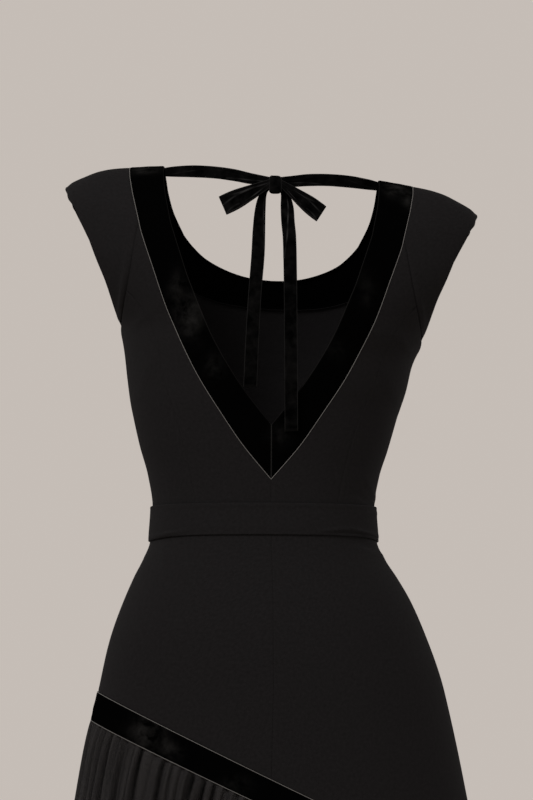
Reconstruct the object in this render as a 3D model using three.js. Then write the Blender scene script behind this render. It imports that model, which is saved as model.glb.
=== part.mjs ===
// Latin dance bodysuit with its skirt: the worn form, hollow, with no wearer.
// Millimetres, Z up. The open back faces -Y, the front faces +Y.
// The origin is midway between the tops of the shoulders, where a wearer carries it.

import * as THREE from 'three';

// Thickness of each cloth, and the gap left where two cut pieces meet.
const JERSEY = 1.2;
const VELVET = 1.5;
const CHIFFON = 1.0;
const RIBBON = 1.2;
const SEAM_GAP = 0.3;

// Heights of the level edges.
const BODICE_END = -372;
const BRIEF_TOP = -366;
const WAISTBAND_TOP = -352;
const WAISTBAND_BOTTOM = -388;
const SKIRT_TOP = -378;
const UNDERARM = -180;

// The skirt's velvet band lies on a tilted plane, high on the left.
const BAND_LEVEL = -629.2;
const BAND_SLOPE = 0.479;
const BAND_DROP = 29;

// The gathered flounce below it.
const FLOUNCE_DEPTH = 220;
const GATHERS = 96;
const POINTS_PER_GATHER = 4;
const FLARE = 0.17;
const FLOUNCE_LIES_IN = 1.2;
const LEAN = 11;
const LEAN_REACH = 40;

// How far the layers stand off the figure's surface, measured to their outer faces.
const WAISTBAND_STANDS = 2.4;
const WAISTBAND_LAYERS = 1.7;
const SKIRT_BAND_STANDS = 0.9;
const BAND_STANDS = 0.3;
const BRIEF_LIES_IN = 1.9;

// The brief under the skirt: its ease below the waistband and how it rounds under at the crotch.
const BRIEF_EASE = 2.2;
const EASE_REACH = 40;
const UNDER_START = -500;
const CROTCH = -606;
const GUSSET_ANGLE = 9;
const GUSSET_SEAM = -590;
const GUSSET_EASE = 0.008;

// Columns around the skirt and the waistband.
const AROUND = 48;

// An angle a little past the side seam.
const PAST_SIDE = 97;

// How evenly the front's columns are spread at its lower edge, from 0 to 1.
const EVEN_OUT = 0.75;

// The tie: one ribbon, knotted in a bow at the nape.
const KNOT_CENTRE = new THREE.Vector3(4.1, -83, -25.4);
const KNOT_SIZE = new THREE.Vector3(14.2, 9, 18.6);
const KNOT_SOFTNESS = 0.55;
const TAIL_STANDS = 3.2;

// The left strap ends a little short of the band, which stands closer to it there.
const LEFT_STRAP_EASE = 0.4;

// Smooth curve through a table's column, with no overshoot between its rows.
function column(table, name) {
  const at = table.columns.indexOf(name);
  const rows = [...table.rows].sort((a, b) => a[0] - b[0]);
  const keys = rows.map((row) => row[0]);
  const values = rows.map((row) => row[at]);
  const slopes = keys.map((key, i) => {
    if (i === 0 || i === keys.length - 1) return 0;
    const before = (values[i] - values[i - 1]) / (key - keys[i - 1]);
    const after = (values[i + 1] - values[i]) / (keys[i + 1] - key);
    return before * after > 0 ? (2 * before * after) / (before + after) : 0;
  });
  return (key) => {
    const last = keys.length - 1;
    if (key <= keys[0]) return values[0];
    if (key >= keys[last]) return values[last];
    let i = 0;
    while (key > keys[i + 1]) i += 1;
    const span = keys[i + 1] - keys[i];
    const t = (key - keys[i]) / span;
    const rise = t * t * (3 - 2 * t);
    const bend = t * (1 - t) * (1 - t) * slopes[i] - t * t * (1 - t) * slopes[i + 1];
    return values[i] + (values[i + 1] - values[i]) * rise + bend * span;
  };
}

// A general figure's level sections under the cloth. Above the underarm the width is the one
// that the back would reach if it went on past the armhole.
const FIGURE = {
  columns: ['z', 'halfWidth', 'back', 'front'],
  rows: [
    [10, 236, 62, 50],
    [0, 236, 70, 56],
    [-40, 234, 80, 70],
    [-70, 228, 90, 82],
    [-100, 216, 96, 95],
    [-130, 194, 99, 107],
    [-150, 176, 100, 113],
    [-170, 161, 100, 117],
    [-180, 156.5, 99, 118],
    [-195, 151.5, 97, 118],
    [-226, 146, 93, 110],
    [-255, 139, 88, 100],
    [-290, 130, 82, 91],
    [-320, 121, 78, 86],
    [-352, 116, 76, 84],
    [-388, 118.5, 80, 84],
    [-406, 126, 84, 85],
    [-425, 137, 90, 87],
    [-451, 150, 98, 90],
    [-484, 163, 105, 94],
    [-513, 172, 108, 98],
    [-545, 180, 110, 102],
    [-600, 192, 113, 107],
    [-657, 203, 117, 112],
    [-743, 219, 124, 120],
    [-800, 229, 129, 126],
  ],
};
const halfWidth = column(FIGURE, 'halfWidth');
const backDepth = column(FIGURE, 'back');
const frontDepth = column(FIGURE, 'front');
const SQUARENESS = 2.2;

// The top line of the shoulder, and how far below it the cloth rounds over from back to front.
const SHOULDER = {
  columns: ['x', 'z', 'round'],
  rows: [
    [0, 4, 76],
    [100, 2, 74],
    [149, -3, 64],
    [166, -5.3, 58],
    [181, -9, 53],
    [197, -16, 46],
    [210, -22.6, 42],
    [217.5, -28, 40],
  ],
};
const shoulderTop = column(SHOULDER, 'z');
const shoulderRound = column(SHOULDER, 'round');
const CROWN_SOFTNESS = 2.6;

// Where the seams of each half of the back lie at each height. The princess seams differ a little,
// as the worn garment shows. The band's outer edge is `neck`, and its paired inner edge point is
// innerX, innerZ. Where `armhole` is 0 the panel ends at the side seam.
const BACK = {
  columns: ['z', 'neck', 'innerX', 'innerZ', 'princessLeft', 'princessRight', 'armhole'],
  rows: [
    [-78, 134.5, 104, -67.5, 138, 138, 138],
    [-97, 128.5, 99.5, -83, 141.5, 141.5, 141.5],
    [-120, 120.5, 92.5, -105, 145.7, 145.7, 145.7],
    [-140, 113.7, 86, -125, 148.4, 148.4, 150.1],
    [-150, 110, 82.6, -133.5, 140, 141.5, 152.6],
    [-160, 106.3, 78.9, -143, 132.5, 134, 154.8],
    [-167, 103.2, 76.4, -149.7, 128.5, 129.5, 156.4],
    [-173, 100.5, 74.1, -155.4, 125.2, 126, 157.5],
    [UNDERARM, 97.3, 71.2, -162.1, 121.8, 122.5, 0],
    [-195, 90.2, 65, -176.5, 116, 116, 0],
    [-225, 74.6, 51, -203, 110, 107.5, 0],
    [-260, 52.3, 31.5, -233.5, 98.5, 93.5, 0],
    [-295, 28, 14.5, -255.5, 88.5, 82.5, 0],
    [-328, 0, 0, -273, 80.5, 74.5, 0],
    [WAISTBAND_TOP, 0, 0, 0, 76.4, 70.5, 0],
    [BODICE_END, 0, 0, 0, 76, 70, 0],
  ],
};
const princess = (row, hand) => (hand < 0 ? row.princessLeft : row.princessRight);
const PRINCESS_TOP = 3;
const V_TIP = 13;

// The band over the shoulder, from the ridge down the back to where the raglan seam leaves it.
const BAND_TOP = {
  columns: ['outerX', 'outerZ', 'innerX', 'innerZ'],
  rows: [
    [149, -3, 113, 1.4],
    [148.3, -8.5, 112.8, -4.5],
    [147, -20.5, 112, -16],
    [143.3, -40, 109.5, -38],
    [135.8, -72, 105, -62],
  ],
};

// Half of the front neckline, from the shoulder's ridge to the centre front.
const FRONT_NECK = {
  columns: ['outerX', 'outerZ', 'innerX', 'innerZ'],
  rows: [
    [149, -3, 113, 1.4],
    [148.3, -8.5, 112, -7.5],
    [147, -20.5, 110, -20],
    [143.3, -40, 105, -37],
    [135.8, -72, 96, -55],
    [134.5, -78, 93, -60],
    [123, -92, 84, -70],
    [105, -106, 72, -80],
    [82, -117, 56, -88],
    [56, -124, 38, -94],
    [28, -127, 19, -97.5],
    [0, -128, 0, -98.5],
  ],
};
const NECK_LEAVES_RAGLAN = 5;

// Half of a cap sleeve, from the underarm to the shoulder's ridge. The other half is the same.
const SLEEVE = {
  columns: ['innerX', 'innerZ', 'hemX', 'hemZ', 'lip'],
  rows: [
    [156.4, -167, 160.2, -169.5, 1],
    [154.8, -160, 161.8, -162.5, 1.5],
    [152.6, -150, 164, -153, 1.5],
    [150.1, -140, 167, -143.5, 2],
    [145.7, -120, 172, -129, 2],
    [141.5, -97, 181, -108, 2],
    [138, -78, 188, -90, 2],
    [135.8, -72, 190.5, -83, 2],
    [143.3, -40, 201, -62, 3],
    [147, -20.5, 209, -45.5, 2.5],
    [148.3, -8.5, 214.5, -34.5, 8],
    [149, -3, 217.5, -28, 12],
  ],
};
const FULL_LIP = 12;
const LIP_TUCK = 0.12;

// How the worn garment stands: one shoulder lower, the waist to one side and a little turned.
const STANCE = {
  columns: ['z', 'slope', 'sway', 'turn'],
  rows: [
    [0, 0.068, 0, 0],
    [-60, 0.066, 0, 0],
    [-170, 0.05, 0, 0],
    [-195, 0.045, -3, 1.8],
    [-226, 0.036, -4.7, 2.9],
    [-255, 0.027, -7, 4.5],
    [-320, 0.009, -8, 5.7],
    [-352, 0, -8, 5.7],
    [-388, 0, -8, 5.7],
    [-451, 0, -4.2, 3.4],
    [-484, 0, -3, 2.6],
    [-545, 0, 0, 1],
    [-650, 0, 0, 0],
  ],
};
const stanceSlope = column(STANCE, 'slope');
const stanceSway = column(STANCE, 'sway');
const stanceTurn = column(STANCE, 'turn');

function stand(point) {
  const turn = THREE.MathUtils.degToRad(stanceTurn(point.z));
  const x = point.x * Math.cos(turn) - point.y * Math.sin(turn) + stanceSway(point.z);
  const y = point.x * Math.sin(turn) + point.y * Math.cos(turn);
  return new THREE.Vector3(x, y, point.z - stanceSlope(point.z) * x);
}

const lerp = THREE.MathUtils.lerp;

// Share of the full depth that is left where the cloth rounds over the shoulder.
function crown(x, z) {
  const drop = (shoulderTop(Math.abs(x)) - z) / shoulderRound(Math.abs(x));
  return Math.sqrt(1 - (1 - THREE.MathUtils.clamp(drop, 0, 1)) ** CROWN_SOFTNESS);
}

// A point of the cloth at x and z, on the back (side -1) or the front (side 1).
function onCloth(x, z, side) {
  const ratio = Math.min(Math.abs(x) / halfWidth(z), 1);
  const depth = side < 0 ? backDepth(z) : frontDepth(z);
  const share = (1 - ratio ** SQUARENESS) ** (1 / SQUARENESS);
  return new THREE.Vector3(x, side * depth * share * crown(x, z), z);
}

// A point at an angle around the figure: 0 is the centre back, 90 the +X side, 180 the front.
function around(angle, z) {
  const turn = THREE.MathUtils.degToRad(angle);
  const power = 2 / SQUARENESS;
  const sine = Math.sin(turn);
  const cosine = Math.cos(turn);
  const x = Math.sign(sine) * halfWidth(z) * Math.abs(sine) ** power;
  const depth = cosine > 0 ? backDepth(z) : frontDepth(z);
  const y = -Math.sign(cosine) * depth * Math.abs(cosine) ** power * crown(x, z);
  return new THREE.Vector3(x, y, z);
}

// The angle from the nearer centre line at which the cloth reaches x.
function angleOf(x, z) {
  const ratio = Math.min(Math.abs(x) / halfWidth(z), 1);
  return THREE.MathUtils.radToDeg(Math.asin(ratio ** (SQUARENESS / 2)));
}

// Moves the outer rows and columns of a sheet in by half a seam gap.
function partSeams(rows, tube) {
  const gap = SEAM_GAP / 2;
  const towards = (from, to) => to.clone().sub(from).setLength(gap).add(from);
  const last = rows.length - 1;
  const side = rows[0].length - 1;
  const first = rows[0].map((point, j) => towards(point, rows[1][j]));
  const final = rows[last].map((point, j) => towards(point, rows[last - 1][j]));
  const moved = [first, ...rows.slice(1, last), final];
  if (tube) return moved;
  return moved.map((row) => {
    const left = towards(row[0], row[1]);
    const right = towards(row[side], row[side - 1]);
    return [left, ...row.slice(1, side), right];
  });
}

// The sharpest crease at which a wall still keeps its full thickness, as a cosine.
const SHARPEST_CREASE = 0.72;

// Unit normals of a sheet at its points, lengthened at a crease so that the wall keeps its thickness.
function sheetNormals(rows, tube, outward) {
  const height = rows.length;
  const width = rows[0].length;
  const faces = [];
  for (let i = 0; i < height - 1; i += 1) {
    for (let j = 0; j < (tube ? width : width - 1); j += 1) {
      const k = (j + 1) % width;
      const down = rows[i + 1][k].clone().sub(rows[i][j]);
      const across = rows[i][k].clone().sub(rows[i + 1][j]);
      faces.push({ corners: [[i, j], [i, k], [i + 1, j], [i + 1, k]], normal: down.cross(across) });
    }
  }
  const sums = rows.map((row) => row.map(() => new THREE.Vector3()));
  let facing = 0;
  for (const { corners, normal } of faces) {
    const [i, j] = corners[0];
    facing += normal.dot(outward(rows[i][j]));
    for (const [r, c] of corners) sums[r][c].add(normal);
  }
  const sign = facing < 0 ? -1 : 1;
  const normals = sums.map((row) => row.map((sum) => sum.normalize().multiplyScalar(sign)));
  const stretch = rows.map((row) => row.map(() => 1));
  for (const { corners, normal } of faces) {
    const unit = normal.clone().normalize().multiplyScalar(sign);
    for (const [r, c] of corners) {
      stretch[r][c] = Math.min(stretch[r][c], Math.max(unit.dot(normals[r][c]), SHARPEST_CREASE));
    }
  }
  return normals.map((row, r) => row.map((normal, c) => normal.divideScalar(stretch[r][c])));
}

const awayFromAxis = (point) => new THREE.Vector3(point.x, point.y, 0);

// One closed solid from a sheet of points: its outer face stands `lift` off the points.
function wall(rows, normals, { thickness, lift = 0, tube = false }) {
  const height = rows.length;
  const width = rows[0].length;
  const points = [];
  for (const level of [lift, lift - thickness]) {
    rows.forEach((row, i) => row.forEach((point, j) => {
      points.push(point.clone().addScaledVector(normals[i][j], level));
    }));
  }
  const outer = (i, j) => i * width + (j % width);
  const inner = (i, j) => height * width + outer(i, j);
  const triangles = [];
  const quad = (a, b, c, d) => triangles.push(a, b, c, a, c, d);
  const lastRow = height - 1;
  const columns = tube ? width : width - 1;
  for (let j = 0; j < columns; j += 1) {
    for (let i = 0; i < lastRow; i += 1) {
      quad(outer(i, j), outer(i + 1, j), outer(i + 1, j + 1), outer(i, j + 1));
      quad(inner(i, j), inner(i, j + 1), inner(i + 1, j + 1), inner(i + 1, j));
    }
    quad(outer(0, j), outer(0, j + 1), inner(0, j + 1), inner(0, j));
    quad(outer(lastRow, j + 1), outer(lastRow, j), inner(lastRow, j), inner(lastRow, j + 1));
  }
  for (let i = 0; i < lastRow && !tube; i += 1) {
    quad(outer(i + 1, 0), outer(i, 0), inner(i, 0), inner(i + 1, 0));
    quad(outer(i, columns), outer(i + 1, columns), inner(i + 1, columns), inner(i, columns));
  }
  return closedGeometry(points, triangles);
}

// Builds the geometry and turns its faces outwards if its volume comes out negative.
function closedGeometry(points, triangles) {
  let volume = 0;
  for (let t = 0; t < triangles.length; t += 3) {
    const [a, b, c] = triangles.slice(t, t + 3).map((index) => points[index]);
    volume += a.dot(b.clone().cross(c));
  }
  const index = [...triangles];
  if (volume < 0) index.reverse();
  const geometry = new THREE.BufferGeometry();
  const positions = points.flatMap((point) => [point.x, point.y, point.z]);
  geometry.setAttribute('position', new THREE.Float32BufferAttribute(positions, 3));
  geometry.setIndex(index);
  geometry.computeVertexNormals();
  return geometry;
}

const FINISH = {
  jersey: { color: 0x1a1a1a, roughness: 0.9, metalness: 0 },
  velvet: { color: 0x050505, roughness: 0.75, metalness: 0 },
  ribbon: { color: 0x060606, roughness: 0.7, metalness: 0 },
  chiffon: { color: 0x1c1b1b, roughness: 0.85, metalness: 0 },
};

const garment = new THREE.Group();
garment.name = 'latin_dance_bodysuit';

function addPiece(name, finish, geometry) {
  const mesh = new THREE.Mesh(geometry, new THREE.MeshStandardMaterial(FINISH[finish]));
  mesh.name = name;
  garment.add(mesh);
}

// A cut piece of the bodice or skirt, from points on the figure, put into the worn stance.
// The rows and columns in `margin` lie past its seams: they steer the normals and are then cut off.
function addCloth(name, finish, rows, options) {
  const posed = rows.map((row) => row.map(stand));
  const normals = sheetNormals(posed, options.tube, options.outward ?? awayFromAxis);
  const { first = 0, last = 0, sides = 0 } = options.margin ?? {};
  const cut = (grid) => grid
    .slice(first, grid.length - last)
    .map((row) => row.slice(sides, row.length - sides));
  addPiece(name, finish, wall(partSeams(cut(posed), options.tube), cut(normals), options));
}

function cells(table) {
  return table.rows.map((row) => Object.fromEntries(table.columns.map((key, i) => [key, row[i]])));
}

// Angles spread evenly from one seam to the next.
function spread(from, to, steps) {
  return Array.from({ length: steps + 1 }, (_, i) => lerp(from, to, i / steps));
}

// The same with one more step past each seam.
function spreadPast(from, to, steps) {
  const step = (to - from) / steps;
  return spread(from - step, to + step, steps + 2);
}

function sideAngle(row) {
  return row.armhole === 0 ? 90 : angleOf(row.armhole, row.z);
}

// Between the V edge or the centre back seam and the raglan or princess seam.
function backCentre(name, hand) {
  const rows = cells(BACK).map((row) => {
    const angles = spreadPast(angleOf(row.neck, row.z), angleOf(princess(row, hand), row.z), 5);
    return angles.map((angle) => around(hand * angle, row.z));
  });
  addCloth(name, 'jersey', rows, { thickness: JERSEY, margin: { sides: 1 } });
}

// Between the princess seam and the armhole and side seam.
function backSide(name, hand) {
  const rows = cells(BACK).slice(PRINCESS_TOP).map((row) => {
    const angles = spreadPast(angleOf(princess(row, hand), row.z), sideAngle(row), 5);
    return angles.map((angle) => around(hand * angle, row.z));
  });
  addCloth(name, 'jersey', rows, { thickness: JERSEY, margin: { sides: 1 } });
}

// The front's top edge from the underarm up the raglan seam and along the neckline.
function frontTopEdge() {
  const raglan = cells(BACK).filter((row) => row.armhole > 0).reverse();
  const armhole = raglan.map((row) => ({ angle: sideAngle(row), z: row.z }));
  const neck = cells(FRONT_NECK).slice(NECK_LEAVES_RAGLAN).map((row) => (
    { angle: angleOf(row.outerX, row.outerZ), z: row.outerZ }
  ));
  return [{ angle: 90, z: UNDERARM }, ...armhole, ...neck];
}

// One plain front, from side seam to side seam, cut to the neckline and the raglan seams.
function front() {
  const half = frontTopEdge();
  const mirrored = half.slice(0, -1).reverse().map((point) => ({ angle: -point.angle, z: point.z }));
  const past = [PAST_SIDE, -PAST_SIDE].map((angle) => ({ angle, z: UNDERARM }));
  const top = [past[0], ...half, ...mirrored, past[1]];
  const heights = cells(BACK).map((row) => row.z).filter((z) => z <= UNDERARM);
  const rows = heights.map((height) => {
    const down = (height - heights[0]) / (BODICE_END - heights[0]);
    return top.map((point, j) => {
      const even = lerp(90, -90, (j - 1) / (top.length - 3));
      const angle = lerp(point.angle, even, EVEN_OUT * down);
      return around(180 - angle, lerp(point.z, BODICE_END, down));
    });
  });
  addCloth('front', 'jersey', rows, { thickness: JERSEY, margin: { sides: 1 } });
}

// Points straight across between two edge points, kept at their own drop below the shoulder line.
function across(from, to, side, steps) {
  return Array.from({ length: steps + 1 }, (_, i) => {
    const x = lerp(from.x, to.x, i / steps);
    const fromDrop = shoulderTop(from.x) - from.z;
    const toDrop = shoulderTop(to.x) - to.z;
    return { x, z: shoulderTop(x) - lerp(fromDrop, toDrop, i / steps), side };
  });
}

const lifted = (hand) => ({ x, z, side }) => onCloth(hand * x, z, side);

// The band's left or right back length, from the mitre at the V to the shoulder's ridge.
function neckBandBack(name, hand) {
  const lower = cells(BACK).slice(0, V_TIP + 1).reverse();
  const stations = [
    ...lower.map((row) => [{ x: row.neck, z: row.z }, { x: row.innerX, z: row.innerZ }]),
    ...cells(BAND_TOP).reverse().map(edgePair),
  ];
  const rows = stations.map(([outer, inner]) => across(outer, inner, -1, 2).map(lifted(hand)));
  rows.push(bandRow(cells(FRONT_NECK)[1], 1, hand));
  addCloth(name, 'velvet', rows, { thickness: VELVET, lift: BAND_STANDS, margin: { last: 1 } });
}

function bandRow(row, side, hand) {
  const [outer, inner] = edgePair(row);
  return across(outer, inner, side, 2).map(lifted(hand));
}

function edgePair(row) {
  return [{ x: row.outerX, z: row.outerZ }, { x: row.innerX, z: row.innerZ }];
}

// The same band carried on over the shoulders and round the front neckline.
function neckBandFront() {
  const half = cells(FRONT_NECK);
  const right = half.map((row) => bandRow(row, 1, 1));
  const left = half.slice(0, -1).map((row) => bandRow(row, 1, -1)).reverse();
  const before = bandRow(cells(BAND_TOP)[1], -1, 1);
  const after = bandRow(cells(BAND_TOP)[1], -1, -1);
  const options = { thickness: VELVET, lift: BAND_STANDS, margin: { first: 1, last: 1 } };
  addCloth('neck_band_front', 'velvet', [before, ...right, ...left, after], options);
}

// One sleeve row: from the raglan seam or band to the hem, then the turned-down lip.
function sleeveRow(row, hand, side) {
  const seam = { x: row.innerX, z: row.innerZ };
  const hem = { x: row.hemX, z: row.hemZ };
  const points = across(seam, hem, side, 4).map(lifted(hand));
  const edge = points[points.length - 1];
  const outwards = edge.clone().sub(points[points.length - 2]).normalize();
  const down = new THREE.Vector3(-LIP_TUCK * hand, 0, -1).normalize();
  const turned = Math.min(row.lip / FULL_LIP, 1);
  const lip = outwards.lerp(down, turned).setLength(row.lip);
  return [...points, edge.clone().add(lip)];
}

function capSleeve(name, hand) {
  const half = cells(SLEEVE);
  const back = half.map((row) => sleeveRow(row, hand, -1));
  const frontRows = half.slice(0, -1).reverse().map((row) => sleeveRow(row, hand, 1));
  addCloth(name, 'jersey', [...back, ...frontRows], { thickness: JERSEY });
}

const roundAngles = Array.from({ length: AROUND }, (_, i) => (360 * i) / AROUND);

function waistband() {
  const heights = spread(WAISTBAND_TOP, WAISTBAND_BOTTOM, 2);
  const rows = heights.map((z) => roundAngles.map((angle) => around(angle, z)));
  const options = { thickness: WAISTBAND_LAYERS, lift: WAISTBAND_STANDS, tube: true };
  addCloth('waistband', 'jersey', rows, options);
}

// Height of the velvet band's top edge at an angle, where the tilted plane cuts the skirt.
function bandTopAt(angle) {
  let z = BAND_LEVEL;
  for (let round = 0; round < 8; round += 1) {
    z = BAND_LEVEL - BAND_SLOPE * around(angle, z).x;
  }
  return z;
}

// A skirt panel between two side or centre seams, down to the velvet band.
function skirtPanel(name, fromAngle, toAngle) {
  const step = 360 / AROUND;
  const steps = Math.round((toAngle - fromAngle) / step);
  const angles = spread(fromAngle - step, toAngle + step, steps + 2);
  const shares = [0, 0.04, 0.11, 0.2, 0.32, 0.48, 0.72, 1];
  const rows = shares.map((share) => angles.map((angle) => (
    around(angle, lerp(SKIRT_TOP, bandTopAt(angle), share))
  )));
  addCloth(name, 'jersey', rows, { thickness: JERSEY, margin: { sides: 1 } });
}

function skirtBand() {
  const rows = [0, 1].map((share) => roundAngles.map((angle) => (
    around(angle, bandTopAt(angle) - BAND_DROP * share)
  )));
  addCloth('skirt_band', 'velvet', rows, { thickness: VELVET, lift: SKIRT_BAND_STANDS, tube: true });
}

// Rows of the flounce: how far below the band, how deep the small gathers stand, and how deep
// the larger folds that they run together into.
const FLOUNCE_ROWS = {
  columns: ['down', 'gather', 'fold'],
  rows: [
    [0, 1.7, 0.4],
    [28, 2.4, 1.6],
    [95, 1.9, 5],
    [FLOUNCE_DEPTH, 0.6, 10],
  ],
};

// Small differences along the gathers, the same again after each half of the way around.
function uneven(gather, cycles, offset) {
  return Math.sin((2 * Math.PI * cycles * gather) / (GATHERS / 2) + offset);
}

// A point of the flounce, at a gather's number counted along the band.
function flouncePoint(angle, gather, row) {
  const edge = (at) => around(at, bandTopAt(at) - BAND_DROP - SEAM_GAP);
  const top = edge(angle);
  const along = edge(angle + 0.5).sub(top).normalize();
  const out = new THREE.Vector3(along.y, -along.x, 0).normalize();
  const place = gather + 0.2 * uneven(gather, 7, 0) + 0.12 * uneven(gather, 11, 0);
  const fine = row.gather * (1 + 0.3 * uneven(gather, 13, 1)) * Math.cos(2 * Math.PI * place);
  const broad = row.fold * (1 + 0.25 * uneven(gather, 5, 2)) * Math.cos(Math.PI * place);
  const lean = LEAN * (1 - Math.exp(-row.down / LEAN_REACH)) * along.x;
  return top
    .addScaledVector(out, FLARE * row.down - fine - broad - FLOUNCE_LIES_IN)
    .addScaledVector(along, -lean)
    .setZ(top.z - row.down);
}

// The gathered flounce, in a back and a front length that meet at the sides.
function flounce(name, fromAngle) {
  const half = (GATHERS / 2) * POINTS_PER_GATHER;
  const rows = cells(FLOUNCE_ROWS).map((row) => Array.from({ length: half + 3 }, (_, i) => (
    flouncePoint(evenAngle(fromAngle, (i - 1) / half), (i - 1) / POINTS_PER_GATHER, row)
  )));
  addCloth(name, 'chiffon', rows, { thickness: CHIFFON, margin: { sides: 1 } });
}

// Spreads the gathers by length along the band, not by angle, over half the way around.
function evenAngle(fromAngle, share) {
  const steps = 90;
  const points = spread(fromAngle, fromAngle + 180, steps).map((angle) => around(angle, bandTopAt(angle)));
  const lengths = [0];
  for (let i = 1; i <= steps; i += 1) {
    lengths.push(lengths[i - 1] + points[i].distanceTo(points[i - 1]));
  }
  const wanted = share * lengths[steps];
  let i = 0;
  while (i < steps - 1 && lengths[i + 1] < wanted) i += 1;
  const part = (wanted - lengths[i]) / (lengths[i + 1] - lengths[i]);
  return fromAngle + (180 * (i + part)) / steps;
}

// A point of the brief, which follows the figure inside the skirt and rounds under at the crotch.
function inBrief(angle, z) {
  const ease = BRIEF_LIES_IN + BRIEF_EASE * THREE.MathUtils.clamp((BRIEF_TOP - z) / EASE_REACH, 0, 1);
  const fall = THREE.MathUtils.clamp((UNDER_START - z) / (UNDER_START - CROTCH), 0, 1);
  const under = Math.sqrt(1 - fall * fall);
  const skin = around(angle, z);
  const length = Math.hypot(skin.x, skin.y);
  return new THREE.Vector3(skin.x * (1 - ease / length), skin.y * (1 - ease / length) * under, z);
}

// Height of the leg opening's edge, by angle from the centre line.
const LEG_FRONT = { columns: ['angle', 'z'], rows: [[9, -590], [18, -578], [35, -545], [60, -508], [90, -492]] };
const LEG_BACK = { columns: ['angle', 'z'], rows: [[9, -590], [18, -585], [35, -565], [60, -528], [90, -492]] };

function briefPanel(name, centre, legTable) {
  const leg = column(legTable, 'z');
  const half = [105, 90, 75, 60, 47, 35, 26, 17, GUSSET_ANGLE];
  const angles = [...half.map((angle) => -angle), 0, ...half.reverse()];
  const rows = [...spread(0, 1, 6), 1.04].map((share) => angles.map((angle) => {
    const edge = Math.abs(angle) <= GUSSET_ANGLE ? GUSSET_SEAM : leg(Math.abs(angle));
    return inBrief(centre + angle, lerp(BRIEF_TOP, edge, share));
  }));
  addCloth(name, 'jersey', rows, { thickness: JERSEY, margin: { sides: 1, last: 1 } });
}

function briefGusset() {
  const angles = [-GUSSET_ANGLE, 0, GUSSET_ANGLE];
  const rows = spread(GUSSET_EASE, 1 - GUSSET_EASE, 6).map((share) => angles.map((angle) => {
    const backSeam = inBrief(angle, GUSSET_SEAM);
    const frontSeam = inBrief(180 - angle, GUSSET_SEAM);
    const point = backSeam.lerp(frontSeam, share);
    point.z -= (GUSSET_SEAM - CROTCH) * Math.sin(Math.PI * share);
    return point;
  }));
  const above = GUSSET_SEAM + 8;
  const before = angles.map((angle) => inBrief(angle, above));
  const after = angles.map((angle) => inBrief(180 - angle, above));
  const outward = () => new THREE.Vector3(0, 0, -1);
  const margin = { first: 1, last: 1 };
  addCloth('brief_gusset', 'jersey', [before, ...rows, after], { thickness: JERSEY, outward, margin });
}

// A length of ribbon: centre points, the direction of its width, and its width at each.
function ribbon(name, stations, fold) {
  const route = new THREE.CatmullRomCurve3(stations.map((at) => at.centre), false, 'centripetal');
  const steps = (stations.length - 1) * 2;
  const rows = Array.from({ length: steps + 1 }, (_, i) => {
    const share = i / steps;
    const place = Math.min(Math.floor(share * (stations.length - 1)), stations.length - 2);
    const part = share * (stations.length - 1) - place;
    const acrossNow = stations[place].across.clone().lerp(stations[place + 1].across, part).normalize();
    const width = lerp(stations[place].width, stations[place + 1].width, part);
    const centre = route.getPoint(share);
    const forward = route.getTangent(share);
    const ridge = centre.clone().addScaledVector(forward.clone().cross(acrossNow).normalize(), fold);
    const left = centre.clone().addScaledVector(acrossNow, -width / 2);
    const right = centre.clone().addScaledVector(acrossNow, width / 2);
    return [left, ridge, right];
  });
  const normals = sheetNormals(rows, false, awayFromAxis);
  addPiece(name, 'ribbon', wall(rows, normals, { thickness: RIBBON, lift: RIBBON / 2 }));
}

function station(x, y, z, width, acrossX, acrossY, acrossZ) {
  return {
    centre: new THREE.Vector3(x, y, z),
    width,
    across: new THREE.Vector3(acrossX, acrossY, acrossZ).normalize(),
  };
}

// The strap from the top of the band to the knot, one for each hand.
const STRAP = {
  columns: ['x', 'y', 'z', 'width'],
  rows: [
    [111.2, -44, -12.3, 9],
    [100, -52, -12.5, 11],
    [80, -63, -13, 12.5],
    [58, -70.5, -14.2, 12.5],
    [38, -75.5, -16.6, 12.5],
    [22, -79, -19.6, 11.5],
  ],
};

function tieStrap(name, hand) {
  const shoulderEnd = hand > 0 ? 0 : LEFT_STRAP_EASE;
  const stations = cells(STRAP).map((row) => {
    const posed = stand(new THREE.Vector3(hand * (row.x - shoulderEnd), row.y, row.z));
    return station(posed.x, posed.y, posed.z, row.width, 0, -0.15, 1);
  });
  const knotSide = KNOT_CENTRE.x + hand * (KNOT_SIZE.x / 2 + SEAM_GAP);
  stations.push(station(knotSide, KNOT_CENTRE.y, KNOT_CENTRE.z + 3.5, 9, 0, -0.15, 1));
  ribbon(name, stations, 0);
}

// A loop goes out from the knot, folds over at its end and comes back in front of itself.
const LOOPS = {
  bow_loop_left: { hand: -1, end: [-49.5, -88.5, -48], across: [-0.4, 0, 0.92], width: 20 },
  bow_loop_right: { hand: 1, end: [51, -88, -56.5], across: [0.545, 0, 0.84], width: 18 },
};
const LOOP_START = { y: -85.5, z: -24.9 };

// How far out the loop's ribbon is, how far it lies behind its middle, and its share of the width.
const LOOP_ROUTE = {
  columns: ['share', 'behind', 'width'],
  rows: [
    [0, -0.9, 0.45],
    [0.35, -2.2, 0.7],
    [0.7, -3, 0.95],
    [0.95, -2.2, 1],
    [1, 0, 1],
    [0.95, 2.2, 1],
    [0.7, 3, 0.95],
    [0.35, 2.2, 0.7],
    [0, 0.9, 0.45],
  ],
};

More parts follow.
